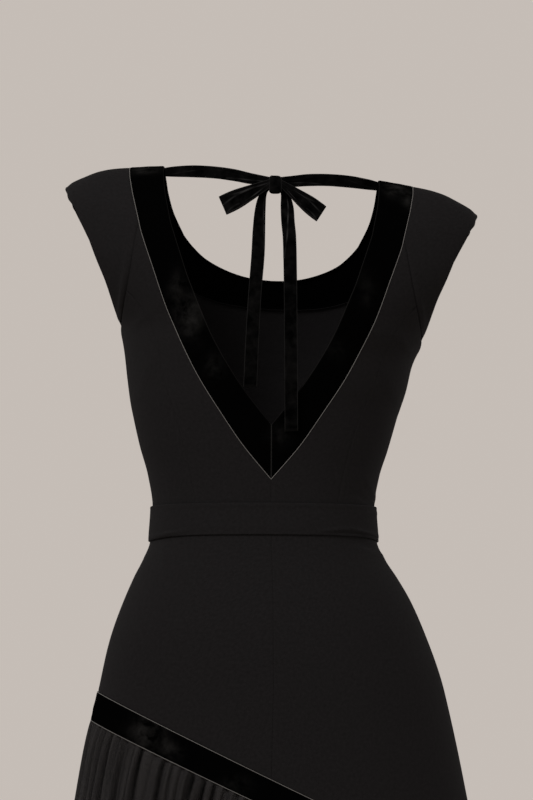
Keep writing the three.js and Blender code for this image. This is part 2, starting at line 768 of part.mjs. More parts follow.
function bowLoop(name, { hand, end, across: side, width }) {
  const tip = new THREE.Vector3(...end);
  const knotSide = KNOT_CENTRE.x + hand * (KNOT_SIZE.x / 2 + SEAM_GAP);
  const root = new THREE.Vector3(knotSide, LOOP_START.y, LOOP_START.z);
  const stations = cells(LOOP_ROUTE).map((at) => {
    const centre = root.clone().lerp(tip, at.share);
    const tilt = new THREE.Vector3(0, 0, 1).lerp(new THREE.Vector3(...side), Math.min(at.share * 2, 1));
    return station(centre.x, centre.y - at.behind, centre.z, at.width * width, tilt.x, tilt.y, tilt.z);
  });
  ribbon(name, stations, 0);
}

// The tails come from behind the knot and hang down along the back.
const TAILS = {
  columns: ['side', 'x', 'z', 'width'],
  rows: [
    [-1, -1.6, -26, 4.6],
    [-1, -8.4, -34, 7.6],
    [-1, -11.2, -49, 10.8],
    [-1, -12.6, -71.5, 12.7],
    [-1, -13.8, -102.5, 13.6],
    [-1, -16.7, -139.5, 13.4],
    [-1, -19.3, -184, 13.8],
    [-1, -21.6, -235.5, 13.9],
    [1, 9.8, -26, 4.6],
    [1, 14.1, -34, 8.8],
    [1, 16.1, -48, 13.2],
    [1, 17, -66, 13.8],
    [1, 18.5, -84.5, 13.7],
    [1, 19.2, -121, 13.6],
    [1, 19.6, -165, 13.4],
    [1, 20, -225, 13.5],
    [1, 20.3, -279.5, 13.6],
  ],
};
const TAIL_TURNS_AT = 3;

function bowTail(name, hand) {
  const behindKnot = KNOT_CENTRE.y + KNOT_SIZE.y / 2 + SEAM_GAP + RIBBON / 2;
  const rows = cells(TAILS).filter((row) => row.side === hand);
  const stations = rows.map((row, i) => {
    const cloth = stand(onCloth(row.x, row.z, -1));
    const nearKnot = Math.max(0, 1 - i / TAIL_TURNS_AT);
    const y = lerp(cloth.y - TAIL_STANDS, behindKnot, nearKnot);
    return station(row.x, y, row.z, row.width, 1, hand * -0.1, 0.05);
  });
  ribbon(name, stations, 0);
}

// The knot: the ribbon's turn around the bow, soft at its corners.
function bowKnot() {
  const ball = new THREE.SphereGeometry(1, 16, 10);
  const place = ball.attributes.position;
  const soften = (value) => Math.sign(value) * Math.abs(value) ** KNOT_SOFTNESS;
  for (let i = 0; i < place.count; i += 1) {
    const x = soften(place.getX(i)) * (KNOT_SIZE.x / 2);
    const y = soften(place.getY(i)) * (KNOT_SIZE.y / 2);
    const z = soften(place.getZ(i)) * (KNOT_SIZE.z / 2);
    place.setXYZ(i, KNOT_CENTRE.x + x, KNOT_CENTRE.y + y, KNOT_CENTRE.z + z);
  }
  addPiece('bow_knot', 'ribbon', ball);
}

backCentre('back_centre_left', -1);
backCentre('back_centre_right', 1);
backSide('back_side_left', -1);
backSide('back_side_right', 1);
front();
neckBandBack('neck_band_back_left', -1);
neckBandBack('neck_band_back_right', 1);
neckBandFront();
capSleeve('cap_sleeve_left', -1);
capSleeve('cap_sleeve_right', 1);
waistband();
skirtPanel('skirt_back_left', -90, 0);
skirtPanel('skirt_back_right', 0, 90);
skirtPanel('skirt_front', 90, 270);
skirtBand();
flounce('flounce_back', -90);
flounce('flounce_front', 90);
briefPanel('brief_back', 0, LEG_BACK);
briefPanel('brief_front', 180, LEG_FRONT);
briefGusset();
tieStrap('tie_strap_left', -1);
tieStrap('tie_strap_right', 1);
bowKnot();
for (const [name, loop] of Object.entries(LOOPS)) bowLoop(name, loop);
bowTail('bow_tail_left', -1);
bowTail('bow_tail_right', 1);

export default garment;
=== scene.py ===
"""Looks of the latin dance bodysuit: each piece of cloth made finer on the form of its CAD solid.

Sizes below are in millimetres, as in the part's source, and turned to metres in each mesh. The
first row of each table names its columns.
"""

import math

import bpy
import numpy as np
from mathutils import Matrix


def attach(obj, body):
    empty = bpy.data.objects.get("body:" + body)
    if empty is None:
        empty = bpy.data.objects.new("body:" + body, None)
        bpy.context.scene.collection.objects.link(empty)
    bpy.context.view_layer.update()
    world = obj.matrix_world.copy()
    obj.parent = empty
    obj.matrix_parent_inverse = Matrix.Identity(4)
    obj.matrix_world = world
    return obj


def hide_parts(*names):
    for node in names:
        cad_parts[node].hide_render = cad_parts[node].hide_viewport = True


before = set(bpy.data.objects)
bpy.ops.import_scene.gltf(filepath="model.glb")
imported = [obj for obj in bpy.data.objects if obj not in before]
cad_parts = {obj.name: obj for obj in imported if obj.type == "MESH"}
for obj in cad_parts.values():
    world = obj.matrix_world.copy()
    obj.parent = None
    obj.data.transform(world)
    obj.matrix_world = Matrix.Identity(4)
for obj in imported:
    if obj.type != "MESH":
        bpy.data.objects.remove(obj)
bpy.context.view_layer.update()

MM = 0.001

# Left and right as in the photo.
HANDS = {"left": -1, "right": 1}

# Levels and layers of the garment.
BODICE_END = -372
BRIEF_TOP = -366
WAISTBAND_TOP = -352
WAISTBAND_BOTTOM = -388
SKIRT_TOP = -378
BAND_LEVEL = -629.2
BAND_SLOPE = 0.479
BAND_DROP = 29
FLOUNCE_DEPTH = 220
FLOUNCE_LIES_IN = 1.2
GATHERS = 96
FLARE = 0.17
LEAN = 14
LEAN_REACH = 40
WAISTBAND_STANDS = 2.4
SKIRT_BAND_STANDS = 0.9
NECK_BAND_STANDS = 0.3
SQUARENESS = 2.2
CROWN_SOFTNESS = 2.6
V_POINT = -328
RAGLAN_TOP = -72
PRINCESS_TOP = -140
ARMHOLE_END = -173
UNDERARM = -180

# Thickness of each cloth.
THICKNESS = {"jersey": 0.6, "velvet": 0.9, "chiffon": 0.35, "ribbon": 0.9}

# How wide a seam dips, the allowance turned in behind it, and the space between two pieces.
SEAM_REACH = 1.0
TURNED_IN = 2.2
SEAM_GAP = 0.3

# How deep the seams dip.
FINE_SEAM = 0.25
SIDE_SEAM = 0.5
BAND_SEAM = 0.6
RAGLAN_SEAM = 0.9

# The princess seam is at its own depth from this far below the raglan seam.
CORNER_REACH = 9

# The general figure that fills the garment, level by level.
FIGURE = [
    ("z", "half_width", "back", "front"),
    (10, 236, 62, 50), (0, 236, 70, 56), (-40, 234, 80, 70), (-70, 228, 90, 82),
    (-100, 216, 96, 95), (-130, 194, 99, 107), (-150, 176, 100, 113), (-170, 161, 100, 117),
    (-180, 156.5, 99, 118), (-195, 151.5, 97, 118), (-226, 146, 93, 110), (-255, 139, 88, 100),
    (-290, 130, 82, 91), (-320, 121, 78, 86), (-352, 116, 76, 84), (-388, 118.5, 80, 84),
    (-406, 126, 84, 85), (-425, 137, 90, 87), (-451, 150, 98, 90), (-484, 163, 105, 94),
    (-513, 172, 108, 98), (-545, 180, 110, 102), (-600, 192, 113, 107), (-657, 203, 117, 112),
    (-743, 219, 124, 120), (-800, 229, 129, 126),
]

# The shoulder's ridge, and how far below it the cloth is still rounding over.
SHOULDER = [
    ("x", "z", "round"),
    (0, 4, 76), (100, 2, 74), (149, -3, 64), (166, -5.3, 58), (181, -9, 53), (197, -16, 46),
    (210, -22.6, 42), (217.5, -28, 40),
]

# How the figure stands: the shoulders' slope, its sway to one side and its turn in degrees.
STANCE = [
    ("z", "slope", "sway", "turn"),
    (0, 0.068, 0, 0), (-60, 0.066, 0, 0), (-170, 0.05, 0, 0), (-195, 0.045, -3, 1.8),
    (-226, 0.036, -4.7, 2.9), (-255, 0.027, -7, 4.5), (-320, 0.009, -8, 5.7),
    (-352, 0, -8, 5.7), (-388, 0, -8, 5.7), (-451, 0, -4.2, 3.4), (-484, 0, -3, 2.6),
    (-545, 0, 0, 1), (-650, 0, 0, 0),
]

# Half of the V from the raglan seam's end to its point: the band's outer and inner edges.
V_EDGES = [
    ("z", "outer_x", "inner_x", "inner_z"),
    (RAGLAN_TOP, 135.8, 105, -62), (-78, 134.5, 104, -67.5), (-97, 128.5, 99.5, -83),
    (-120, 120.5, 92.5, -105), (-140, 113.7, 86, -125), (-160, 106.3, 78.9, -143),
    (UNDERARM, 97.3, 71.2, -162.1), (-195, 90.2, 65, -176.5), (-225, 74.6, 51, -203),
    (-260, 52.3, 31.5, -233.5), (-295, 28, 14.5, -255.5), (V_POINT, 0, 0, -273),
]

# The princess seams differ a little, as the worn garment shows.
PRINCESS = [
    ("z", "left", "right"),
    (PRINCESS_TOP, 150.1, 150.1), (-150, 140, 141.5), (-160, 132.5, 134), (-167, 128.5, 129.5),
    (-173, 125.2, 126), (UNDERARM, 121.8, 122.5), (-195, 116, 116), (-225, 110, 107.5),
    (-260, 98.5, 93.5), (-295, 88.5, 82.5), (V_POINT, 80.5, 74.5), (WAISTBAND_TOP, 76.4, 70.5),
    (BODICE_END, 76, 70),
]
RAGLAN = [
    ("z", "x"),
    (RAGLAN_TOP, 135.8), (-78, 138), (-97, 141.5), (-120, 145.7), (-140, 150.1),
    (-150, 152.6), (-160, 154.8), (-167, 156.4), (ARMHOLE_END, 157.5),
]

# The band from the raglan seam's end to the shoulder's ridge, then down the front.
BAND_TOP = [
    ("outer_x", "outer_z", "inner_x", "inner_z"),
    (135.8, -72, 105, -62), (143.3, -40, 109.5, -38), (147, -20.5, 112, -16),
    (148.3, -8.5, 112.8, -4.5), (149, -3, 113, 1.4),
]
FRONT_NECK = [
    ("outer_x", "outer_z", "inner_x", "inner_z"),
    (149, -3, 113, 1.4), (148.3, -8.5, 112, -7.5), (147, -20.5, 110, -20),
    (143.3, -40, 105, -37), (135.8, -72, 96, -55), (134.5, -78, 93, -60), (123, -92, 84, -70),
    (105, -106, 72, -80), (82, -117, 56, -88), (56, -124, 38, -94), (28, -127, 19, -97.5),
    (0, -128, 0, -98.5),
]

# The row where the front's edge leaves the raglan seam, and its lowest level.
NECK_LEAVES_RAGLAN = 4
NECKLINE = -128

# How evenly the front's columns are spread at its lower edge, from 0 to 1.
EVEN_OUT = 0.75

# The cap sleeve from underarm to shoulder: its inner edge, its hem and the lip below it.
SLEEVE = [
    ("inner_x", "inner_z", "hem_x", "hem_z", "lip"),
    (156.4, -167, 158, -168.6, 1),
    (154.8, -160, 160.8, -162.3, 1),
    (152.6, -150, 164, -153, 1),
    (150.1, -140, 167, -143.5, 1),
    (145.7, -120, 172, -129, 1),
    (141.5, -97, 181, -108, 1),
    (138, -78, 188, -90, 1),
    (135.8, -72, 190.5, -83, 1),
    (143.3, -40, 201, -62, 1),
    (147, -20.5, 209.5, -45, 1.5),
    (148.3, -8.5, 214, -34.5, 6),
    (149, -3, 216.5, -28, 11.5),
]

# From this length on the lip hangs straight down, tucked in a little at its end.
FULL_LIP = 5
LIP_TUCK = 0.12

# How deep the flounce's gathers and broad folds are on the way down.
FLOUNCE_ROWS = [
    ("down", "gather", "fold"),
    (0, 1.7, 0.4), (28, 2.4, 1.6), (95, 1.9, 5), (FLOUNCE_DEPTH, 0.6, 10),
]

# The brief's leg edges, by the angle from the centre line, and how close it lies.
LEG_FRONT = [("angle", "z"), (9, -590), (18, -578), (35, -545), (60, -508), (90, -492)]
LEG_BACK = [("angle", "z"), (9, -590), (18, -585), (35, -565), (60, -528), (90, -492)]
BRIEF_LIES_IN = 1.9
BRIEF_EASE = 2.2
EASE_REACH = 40
CROTCH = -606
UNDER_START = -500
GUSSET_ANGLE = 9
GUSSET_SEAM = -590
GUSSET_EASE = 0.008

KNOT_CENTRE = np.array([4.1, -83.0, -25.4])
KNOT_SIZE = np.array([14.2, 9.0, 18.6])
KNOT_SOFTNESS = 0.55
STRAP = [
    ("x", "y", "z", "width"),
    (111.2, -44, -12.3, 9), (100, -52, -12.5, 11), (80, -63, -13, 12.5),
    (58, -70.5, -14.2, 12.5), (38, -75.5, -16.6, 12.5), (22, -79, -19.6, 11.5),
]
LEFT_STRAP_EASE = 0.4
LOOPS = {
    "left": {"hand": -1, "end": (-49.5, -88.5, -48), "across": (-0.4, 0, 0.92), "width": 20},
    "right": {"hand": 1, "end": (51, -88, -56.5), "across": (0.545, 0, 0.84), "width": 18},
}
LOOP_START = {"y": -85.5, "z": -24.9}

# A loop's ribbon on its way out: how far out, how far behind its middle, its share of the width.
LOOP_OUT = [(0, -0.9, 0.45), (0.35, -2.2, 0.7), (0.7, -3, 0.95), (0.95, -2.2, 1), (1, 0, 1)]

# The ribbon's tails: x, z and width, from the knot down.
TAILS = {
    "left": [
        (-1.6, -26, 4.6), (-8.4, -34, 7.6), (-11.2, -49, 10.8), (-12.6, -71.5, 12.7),
        (-13.8, -102.5, 13.6), (-16.7, -139.5, 13.4), (-19.3, -184, 13.8), (-21.6, -235.5, 13.9),
    ],
    "right": [
        (9.8, -26, 4.6), (14.1, -34, 8.8), (16.1, -48, 13.2), (17, -66, 13.8), (18.5, -84.5, 13.7),
        (19.2, -121, 13.6), (19.6, -165, 13.4), (20, -225, 13.5), (20.3, -279.5, 13.6),
    ],
}
TAIL_STANDS = 3.2
TAIL_TURNS_AT = 3
TAIL_CLEARS_KNOT = 0.9
BEHIND_KNOT = KNOT_CENTRE[1] + KNOT_SIZE[1] / 2 + TAIL_CLEARS_KNOT

# Where a solid isn't named like its piece: how the piece's name starts, and the solid's.
SOLID_NAMES = {
    "velvet_band_front": "neck_band_front",
    "velvet_band": "neck_band_back",
    "ribbon_strap": "tie_strap",
    "ribbon": "bow",
}

# Angles all around the figure.
ROUND = np.arange(0, 360, 1.0)

# The waistband's turned edges: how far from the edge, and how far out from its face.
TURNED_EDGE = [
    (4, -1.5), (0.4, -1.4), (-0.1, -1.0), (-0.25, -0.5), (0.0, -0.1), (0.5, 0.15), (1.2, 0.2), (2.2, 0.1),
]

# How far the waistband's lower edge rises between its ends.
WAISTBAND_ARCH = 3.6

# How far its lower edge lies in towards the skirt, and from how far up.
EDGE_LIES_IN = 0.7
EDGE_LIES_IN_REACH = 5

# How far its face rounds out.
FACE_ROUNDS_OUT = 0.25

# The small creases below the gathered edge: how many to a gather, and how deep.
CREASES_A_GATHER = 0.8
CREASE_DEPTH = 4.6

# How far down they start, how far down they fade, how much that varies, and how they drift.
CREASE_STARTS = 7
FOLD_STARTS = 3
CREASE_LENGTH = 90
CREASE_LENGTH_VARIES = 45
CREASES_DRIFT_OVER = 260

# Finer unevenness of the gathers: height, and how far down it fades.
PUCKER = (0.5, 16)
CRIMP = (0.4, 70)

# Soft creases: from x, z to x, z on the back (side -1) or front (1), height and half-width.
BODICE_CREASES = [
    (-1, 99, -326, 113, -352, 0.9, 3),
    (-1, 84, -339, 104, -349, -0.7, 2.4),
    (-1, -108, -330, -96, -350, 0.6, 3.5),
    (-1, -120, -195, -138, -240, 0.5, 6),
    (-1, 112, -206, 134, -250, 0.6, 6),
    (-1, 124, -172, 148, -198, 0.7, 5),
    (-1, -122, -152, -146, -172, 0.7, 5),
    (1, -104, -330, -90, -350, 0.8, 3.5),
    (1, 84, -328, 98, -350, 0.7, 3.5),
    (1, -118, -170, -70, -150, 0.9, 7),
    (1, 118, -182, 74, -162, 0.9, 7),
]
SLEEVE_CREASES = [
    (-1, -147, -92, -158.5, -156, 1.3, 2.4),
    (-1, -153, -92, -160, -128, -0.4, 3),
    (-1, 147, -112, 158.5, -166, 1, 2.4),
    (-1, -182, -30, -196, -62, 0.5, 7),
    (1, -148.5, -98, -157.5, -148, 0.7, 2.4),
    (1, 149, -118, 158, -166, 0.6, 2.4),
]
SKIRT_CREASES = [
    (-1, -112, -393, -108, -412, 0.9, 2.6),
    (-1, -104, -391, -100, -408, -0.5, 2.6),
    (-1, 82, -390, 108, -396, -1, 2.2),
    (-1, 84, -395, 121, -404, 0.9, 3),
    (1, -96, -391, -112, -420, 0.9, 3.4),
    (1, 92, -391, 108, -424, 0.8, 3.2),
    (-1, -90, -600, -150, -690, 0.7, 12),
    (-1, 30, -640, 60, -760, 0.6, 14),
    (1, -60, -560, -120, -640, 0.7, 12),
]
WAISTBAND_CREASES = [
    (-1, 48, -381, 80, -377.5, 1.4, 1.9),
    (-1, 80, -377.5, 108, -383, 1.8, 1.9),
    (-1, 70, -382.5, 106, -385.5, -1.4, 1.4),
    (-1, -124, -385, -86, -380.5, 1.3, 1.9),
    (-1, -108, -355, 96, -355, 0.5, 1.4),
    (-1, 96, -362, 112, -357, 0.5, 2.4),
    (1, -110, -380, -70, -386, 0.8, 2.6),
    (1, 66, -384, 104, -378, 0.8, 2.6),
]

# Patches of painted sheen, where the velvet's pile leans back: centre x and z, reach across and up, and
# how much.
SHEEN_PATCHES = [
    (-84, -160, 13, 20, 0.65), (-96, -132, 8, 14, 0.4), (-58, -214, 9, 12, 0.35),
    (-124, -585, 15, 15, 0.9), (-100, -600, 9, 9, 0.5), (-36, -634, 14, 8, 0.3),
    (-132, -1, 15, 6, 0.55), (128, -22, 9, 9, 0.8), (142, -34, 6, 12, 0.5),
    (97, -136, 9, 16, 0.2), (66, -196, 9, 9, 0.2), (8, -284, 10, 9, 0.3),
]

# Lengths of the waves that make the pile uneven, and how high they are on the bands.
PILE_WAVES = (23, 15, 9.5, 31)
NECK_BAND_WAVES = 0.28
SKIRT_BAND_WAVES = 0.35

# How much painted sheen the ribbon's pile has all over, where it leans back.
RIBBON_PAINTED_SHEEN = 0.25

# How wide the painted highlight is along an edge that catches the light.
LINE_REACH = 0.4

# Folds of the ribbons: place across at the start and at the end, shares of the length between
# which the fold runs, height, how much painted highlight it gets, and how far it bows to one
# side. A loop's front layer is its second half.
STRAP_FOLDS = (
    (0.3, -0.05, 0.5, 1, -0.5, 0, 0),
    (-0.35, -0.1, 0.6, 1, 0.4, 0.3, 0.06),
    (-0.3, 0.2, 0.05, 0.4, 0.3, 0.1, 0),
)
LOOP_FOLDS = (
    (0.02, 0.12, 0.52, 1, 0.6, 0.42, 0.14),
    (-0.34, 0, 0.72, 1, 0.5, 0.36, -0.1),
    (0.34, 0.3, 0.6, 0.86, 0.4, 0.2, -0.08),
    (-0.42, -0.3, 0.52, 0.66, 0.3, 0.3, 0.05),
    (-0.12, 0.05, 0.6, 1, -0.7, 0, 0.1),
    (0.24, 0.2, 0.6, 1, -0.7, 0, 0.1),
)
TAIL_FOLDS = {
    "left": (
        (0.25, 0.42, 0, 0.35, 0.4, 0.25, 0),
        (0, 0.1, 0, 0.6, -0.5, 0, 0.1),
    ),
    "right": (
        (0.12, -0.46, 0.02, 0.32, 0.6, 0.45, 0.16),
        (-0.1, 0.15, 0.1, 0.8, -0.4, 0, 0.1),
    ),
}

# Grooves of the knot: place across, half-width and depth, as shares of its size.
KNOT_GROOVES = ((0.3, 0.12, 0.1), (-0.35, 0.1, 0.08))

# A fine cord in the seams of the velvet bands, light grey as a painted highlight along their edges.
HIGHLIGHT_CORD_RADIUS = 0.34
CORD_SIDES = 8
HIGHLIGHT_CORD_STANDS_AT_V = 0.25
HIGHLIGHT_CORD_STANDS_AT_SKIRT = 0.6

# Colours of each cloth, darker ones first: its own, where it is worn (on pile, a painted sheen where it
# leans back), and for pile a painted highlight where an edge or fold catches the light.
TONES = {
    "jersey": [(0.0062, 0.0058, 0.0060), (0.0084, 0.0078, 0.0081)],
    "chiffon": [(0.0125, 0.0117, 0.0118), (0.0215, 0.0202, 0.0203)],
    # The cord's light grey is a painted highlight along the velvet bands' seams.
    "piping": [(0.07, 0.067, 0.064), (0.12, 0.115, 0.11)],
    "velvet": [(0.0005, 0.0005, 0.0005), (0.016, 0.0155, 0.015), (0.05, 0.048, 0.047)],
    "ribbon": [(0.0006, 0.0006, 0.0006), (0.012, 0.0115, 0.0115), (0.045, 0.044, 0.044)],
    "floor": [(0.55, 0.51, 0.47), (0.6, 0.56, 0.52)],
}
# The chiffon in the creases' valleys: painted shade, which also stands for the cloth lying there in
# layers.
FOLDED_CHIFFON_SHADE = (0.0015, 0.0014, 0.0014)
CHIFFON_ALPHA = 0.82
SPECULAR = 0.02
VELVET_SPECULAR = 0.0

# A wave texture of scale 1 repeats after this many metres.
WAVE_LENGTH = 0.314

# The studio, in metres: the camera, the floor and the lights (name, place, size and watts).
CAMERA = (-0.0047, -2.7, -0.517)
CAMERA_LOOKS_AT = (-0.005, 0.0, -0.239)
VIEW_HEIGHT = 0.84
FLOOR = -1.40
FLOOR_RADIUS = 2.6
LIGHTS_POINT_AT = (0, 0, -0.45)
LIGHTS = [
    ("key", (-1.4, -2.2, 2.0), 1.4, 110),
    ("fill", (2.2, -2.2, 0.2), 2.2, 18),
    ("rim_left", (-2.4, 1.4, 0.4), 1.4, 30),
    ("rim_right", (2.4, 1.6, 0.2), 1.4, 30),
]
BACKDROP = (0.56, 0.51, 0.47, 1)


def by_key(keys, values):
    keys, values = np.array(keys, float), np.array(values, float)
    order = np.argsort(keys)
    return keys[order], values[order]


def flat_ended(keys, values):
    """Smooth curve through points, level at both ends and with no overshoot."""
    keys, values = by_key(keys, values)
    steps = np.diff(values) / np.diff(keys)
    before, after = steps[:-1], steps[1:]
    slopes = np.zeros(len(keys))
    agree = before * after > 0
    slopes[1:-1][agree] = 2 * before[agree] * after[agree] / (before + after)[agree]
    return lambda key: hermite(key, keys, values, slopes)


def free_ended(keys, values):
    """Smooth curve through points that keeps its direction at both ends."""
    keys, values = by_key(keys, values)
    return lambda key: hermite(key, keys, values, np.gradient(values, keys))


def bell(far, reach):
    """1 at no distance, fading smoothly to nothing a few reaches away."""
    return np.exp(-((far / reach) ** 2))


def hermite(key, keys, values, slopes):
    key = np.clip(key, keys[0], keys[-1])
    i = np.clip(np.searchsorted(keys, key, side="right") - 1, 0, len(keys) - 2)
    span = keys[i + 1] - keys[i]
    t = (key - keys[i]) / span
    rise = t * t * (3 - 2 * t)
    bend = t * (1 - t) ** 2 * slopes[i] - t * t * (1 - t) * slopes[i + 1]
    return values[i] + (values[i + 1] - values[i]) * rise + bend * span


def straight(keys, values):
    """Straight lines from point to point."""
    keys, values = by_key(keys, values)
    return lambda key: np.interp(key, keys, values)


def column(table, name, curve=flat_ended):
    """A table's column as a curve over its first column."""
    at = table[0].index(name)
    return curve([row[0] for row in table[1:]], [row[at] for row in table[1:]])


def by_row(table, name, curve=free_ended):
    """A table's column as a curve over the row's number."""
    at = table[0].index(name)
    return curve(range(len(table) - 1), [row[at] for row in table[1:]])


def last_row(table):
    """Number of a table's last row, where the first below the names is 0."""
    return len(table) - 2


half_width = column(FIGURE, "half_width")
back_depth = column(FIGURE, "back")
front_depth = column(FIGURE, "front")
shoulder_top = column(SHOULDER, "z")
shoulder_round = column(SHOULDER, "round")
stance_slope = column(STANCE, "slope")
stance_sway = column(STANCE, "sway")
stance_turn = column(STANCE, "turn")
v_outer_x = column(V_EDGES, "outer_x", free_ended)
v_inner_x = column(V_EDGES, "inner_x", free_ended)
v_inner_z = column(V_EDGES, "inner_z", free_ended)
raglan_x = column(RAGLAN, "x", straight)
princess_x = {
    -1: column(PRINCESS, "left", free_ended),
    1: column(PRINCESS, "right", free_ended),
}


def stand(points):
    """Puts points of the upright figure into the worn stance: one shoulder lower, a small turn."""
    x, y, z = points[..., 0], points[..., 1], points[..., 2]
    turn = np.radians(stance_turn(z))
    new_x = x * np.cos(turn) - y * np.sin(turn) + stance_sway(z)
    new_y = x * np.sin(turn) + y * np.cos(turn)
    return np.stack([new_x, new_y, z - stance_slope(z) * new_x], axis=-1)


def crown(x, z):
    """Share of the full depth that is left where the cloth rounds over the shoulder."""
    drop = (shoulder_top(np.abs(x)) - z) / shoulder_round(np.abs(x))
    return np.sqrt(np.maximum(1 - (1 - np.clip(drop, 0, 1)) ** CROWN_SOFTNESS, 0))


def on_cloth(x, z, side):
    """Points of the cloth at x and z, on the back (side -1) or the front (side 1)."""
    x, z = np.broadcast_arrays(np.asarray(x, float), np.asarray(z, float))
    ratio = np.minimum(np.abs(x) / half_width(z), 1)
    depth = back_depth(z) if side < 0 else front_depth(z)
    share = (1 - ratio ** SQUARENESS) ** (1 / SQUARENESS)
    return np.stack([x, side * depth * share * crown(x, z), z], axis=-1)


def around(angle, z):
    """Points at an angle around the figure: 0 is the centre back, 90 the +X side, 180 the front."""
    angle, z = np.broadcast_arrays(np.asarray(angle, float), np.asarray(z, float))
    sine, cosine = np.sin(np.radians(angle)), np.cos(np.radians(angle))
    power = 2 / SQUARENESS
    x = np.sign(sine) * half_width(z) * np.abs(sine) ** power
    depth = np.where(cosine > 0, back_depth(z), front_depth(z))
    y = -np.sign(cosine) * depth * np.abs(cosine) ** power * crown(x, z)
    return np.stack([x, y, z], axis=-1)


def angle_of(x, z):
    """Angle from the nearer centre line at which the cloth reaches x."""
    ratio = np.minimum(np.abs(x) / half_width(z), 1)
    return np.degrees(np.arcsin(ratio ** (SQUARENESS / 2)))


def shares(length, steps, fine=(0, 0.3, 0.7, 1.2, 2, 3.2)):
    """Places from 0 to 1 along a length, close together at both ends where the seams dip."""
    squeeze = min(1, length / (3 * fine[-1]))
    ends = np.array(fine) * squeeze / length
    middle = np.linspace(ends[-1], 1 - ends[-1], steps)
    return np.hstack([ends[:-1], middle, 1 - ends[:-1][::-1]])


def unit(vectors):
    return vectors / np.maximum(np.linalg.norm(vectors, axis=-1, keepdims=True), 1e-9)


def slopes_of(grid, axis, closed):
    if not closed:
        return np.gradient(grid, axis=axis)
    return (np.roll(grid, -1, axis=axis) - np.roll(grid, 1, axis=axis)) / 2


def normals_of(grid, closed, outward):
    """Unit normals of a grid of points, on the side that `outward` points to.

    A first row with no width takes the next row's."""
    normals = unit(np.cross(slopes_of(grid, 0, False), slopes_of(grid, 1, closed)))
    no_width = np.linalg.norm(normals[0], axis=-1) < 0.5
    normals[0][no_width] = normals[1][no_width]
    facing = (normals * outward(grid)).sum()
    return normals if facing > 0 else -normals


def off_axis(points):
    return points * np.array([1, 1, 0])


def along(grid, axis):
    """Length from the first row or column to each point of a grid."""
    steps = np.linalg.norm(np.diff(grid, axis=axis), axis=-1)
    start = np.zeros_like(np.take(steps, [0], axis=axis))
    return np.concatenate([start, np.cumsum(steps, axis=axis)], axis=axis)


def near_edges(grid, edges, reach):
    """The value given for each named edge, fading along the cloth away from it."""
    down, right = along(grid, 0), along(grid, 1)
    far = {"first": down, "last": down[-1:] - down, "left": right, "right": right[:, -1:] - right}
    total = np.zeros(grid.shape[:-1])
    for edge, value in edges.items():
        total = np.maximum(total, value * bell(far[edge], reach))
    return total


def margins(edges, *names):
    return tuple(int(name in edges) for name in names)


def with_margins(values, edges):
    """The outermost values once more, beyond each edge that is turned in."""
    added = [margins(edges, "first", "last"), margins(edges, "left", "right")]
    return np.pad(values, added + [(0, 0)] * (values.ndim - 2), mode="edge")


def turn_in(grid, normals, edges):
    """Adds the allowance that is turned in behind the edges."""
    rows, columns = grid.shape[:2]
    down = np.pad(np.zeros(rows), margins(edges, "first", "last"), constant_values=1)
    right = np.pad(np.zeros(columns), margins(edges, "left", "right"), constant_values=1)
    depth = TURNED_IN * (down[:, None] + right)
    return with_margins(grid, edges) - with_margins(normals, edges) * depth[..., None]


def painted_sheen_patches(points):
    """How much painted sheen each point of the back gets, where the pile leans back."""
    total = np.zeros(points.shape[:-1])
    for x, z, across_reach, up_reach, much in SHEEN_PATCHES:
        far = ((points[..., 0] - x) / across_reach) ** 2 + ((points[..., 2] - z) / up_reach) ** 2
        total = total + much * np.exp(-far) * (points[..., 1] < 0)
    return np.minimum(total, 1)


def creased(points, creases):
    """How far each point stands out for the creases, which fade towards their ends."""
    out = np.zeros(points.shape[:-1])
    flat = points[..., [0, 2]]
    for side, x0, z0, x1, z1, height, reach in creases:
        start, end = np.array([x0, z0], float), np.array([x1, z1], float)
        line = end - start
        t = np.clip(((flat - start) @ line) / (line @ line), 0, 1)
        distance = np.linalg.norm(flat - start - t[..., None] * line, axis=-1)
        fade = 0.35 + 0.65 * np.sin(np.pi * np.clip(t, 0.05, 0.95))
        here = np.sign(points[..., 1]) == side
        out += here * height * fade * bell(distance, reach)
    return out


def ripple(a, b, lengths, height, phase=0.0):
    """Soft unevenness over two coordinates, from a few waves that never line up."""
    total = 0
    for k, length in enumerate(lengths):
        turn = 0.9 * k + phase
        total = total + np.sin(
            2 * np.pi * (a * math.cos(turn) + b * math.sin(turn)) / length + 1.7 * k + phase
        )
    return height * total / len(lengths)


def faces_of(rows, columns, closed):
    """Row and column of each face's first corner, and the point numbers of its four corners."""
    i, j = np.meshgrid(np.arange(rows - 1), np.arange(columns if closed else columns - 1), indexing="ij")
    k = (j + 1) % columns
    here, below = i * columns, (i + 1) * columns
    return i, j, np.stack([here + j, below + j, below + k, here + k], axis=-1)


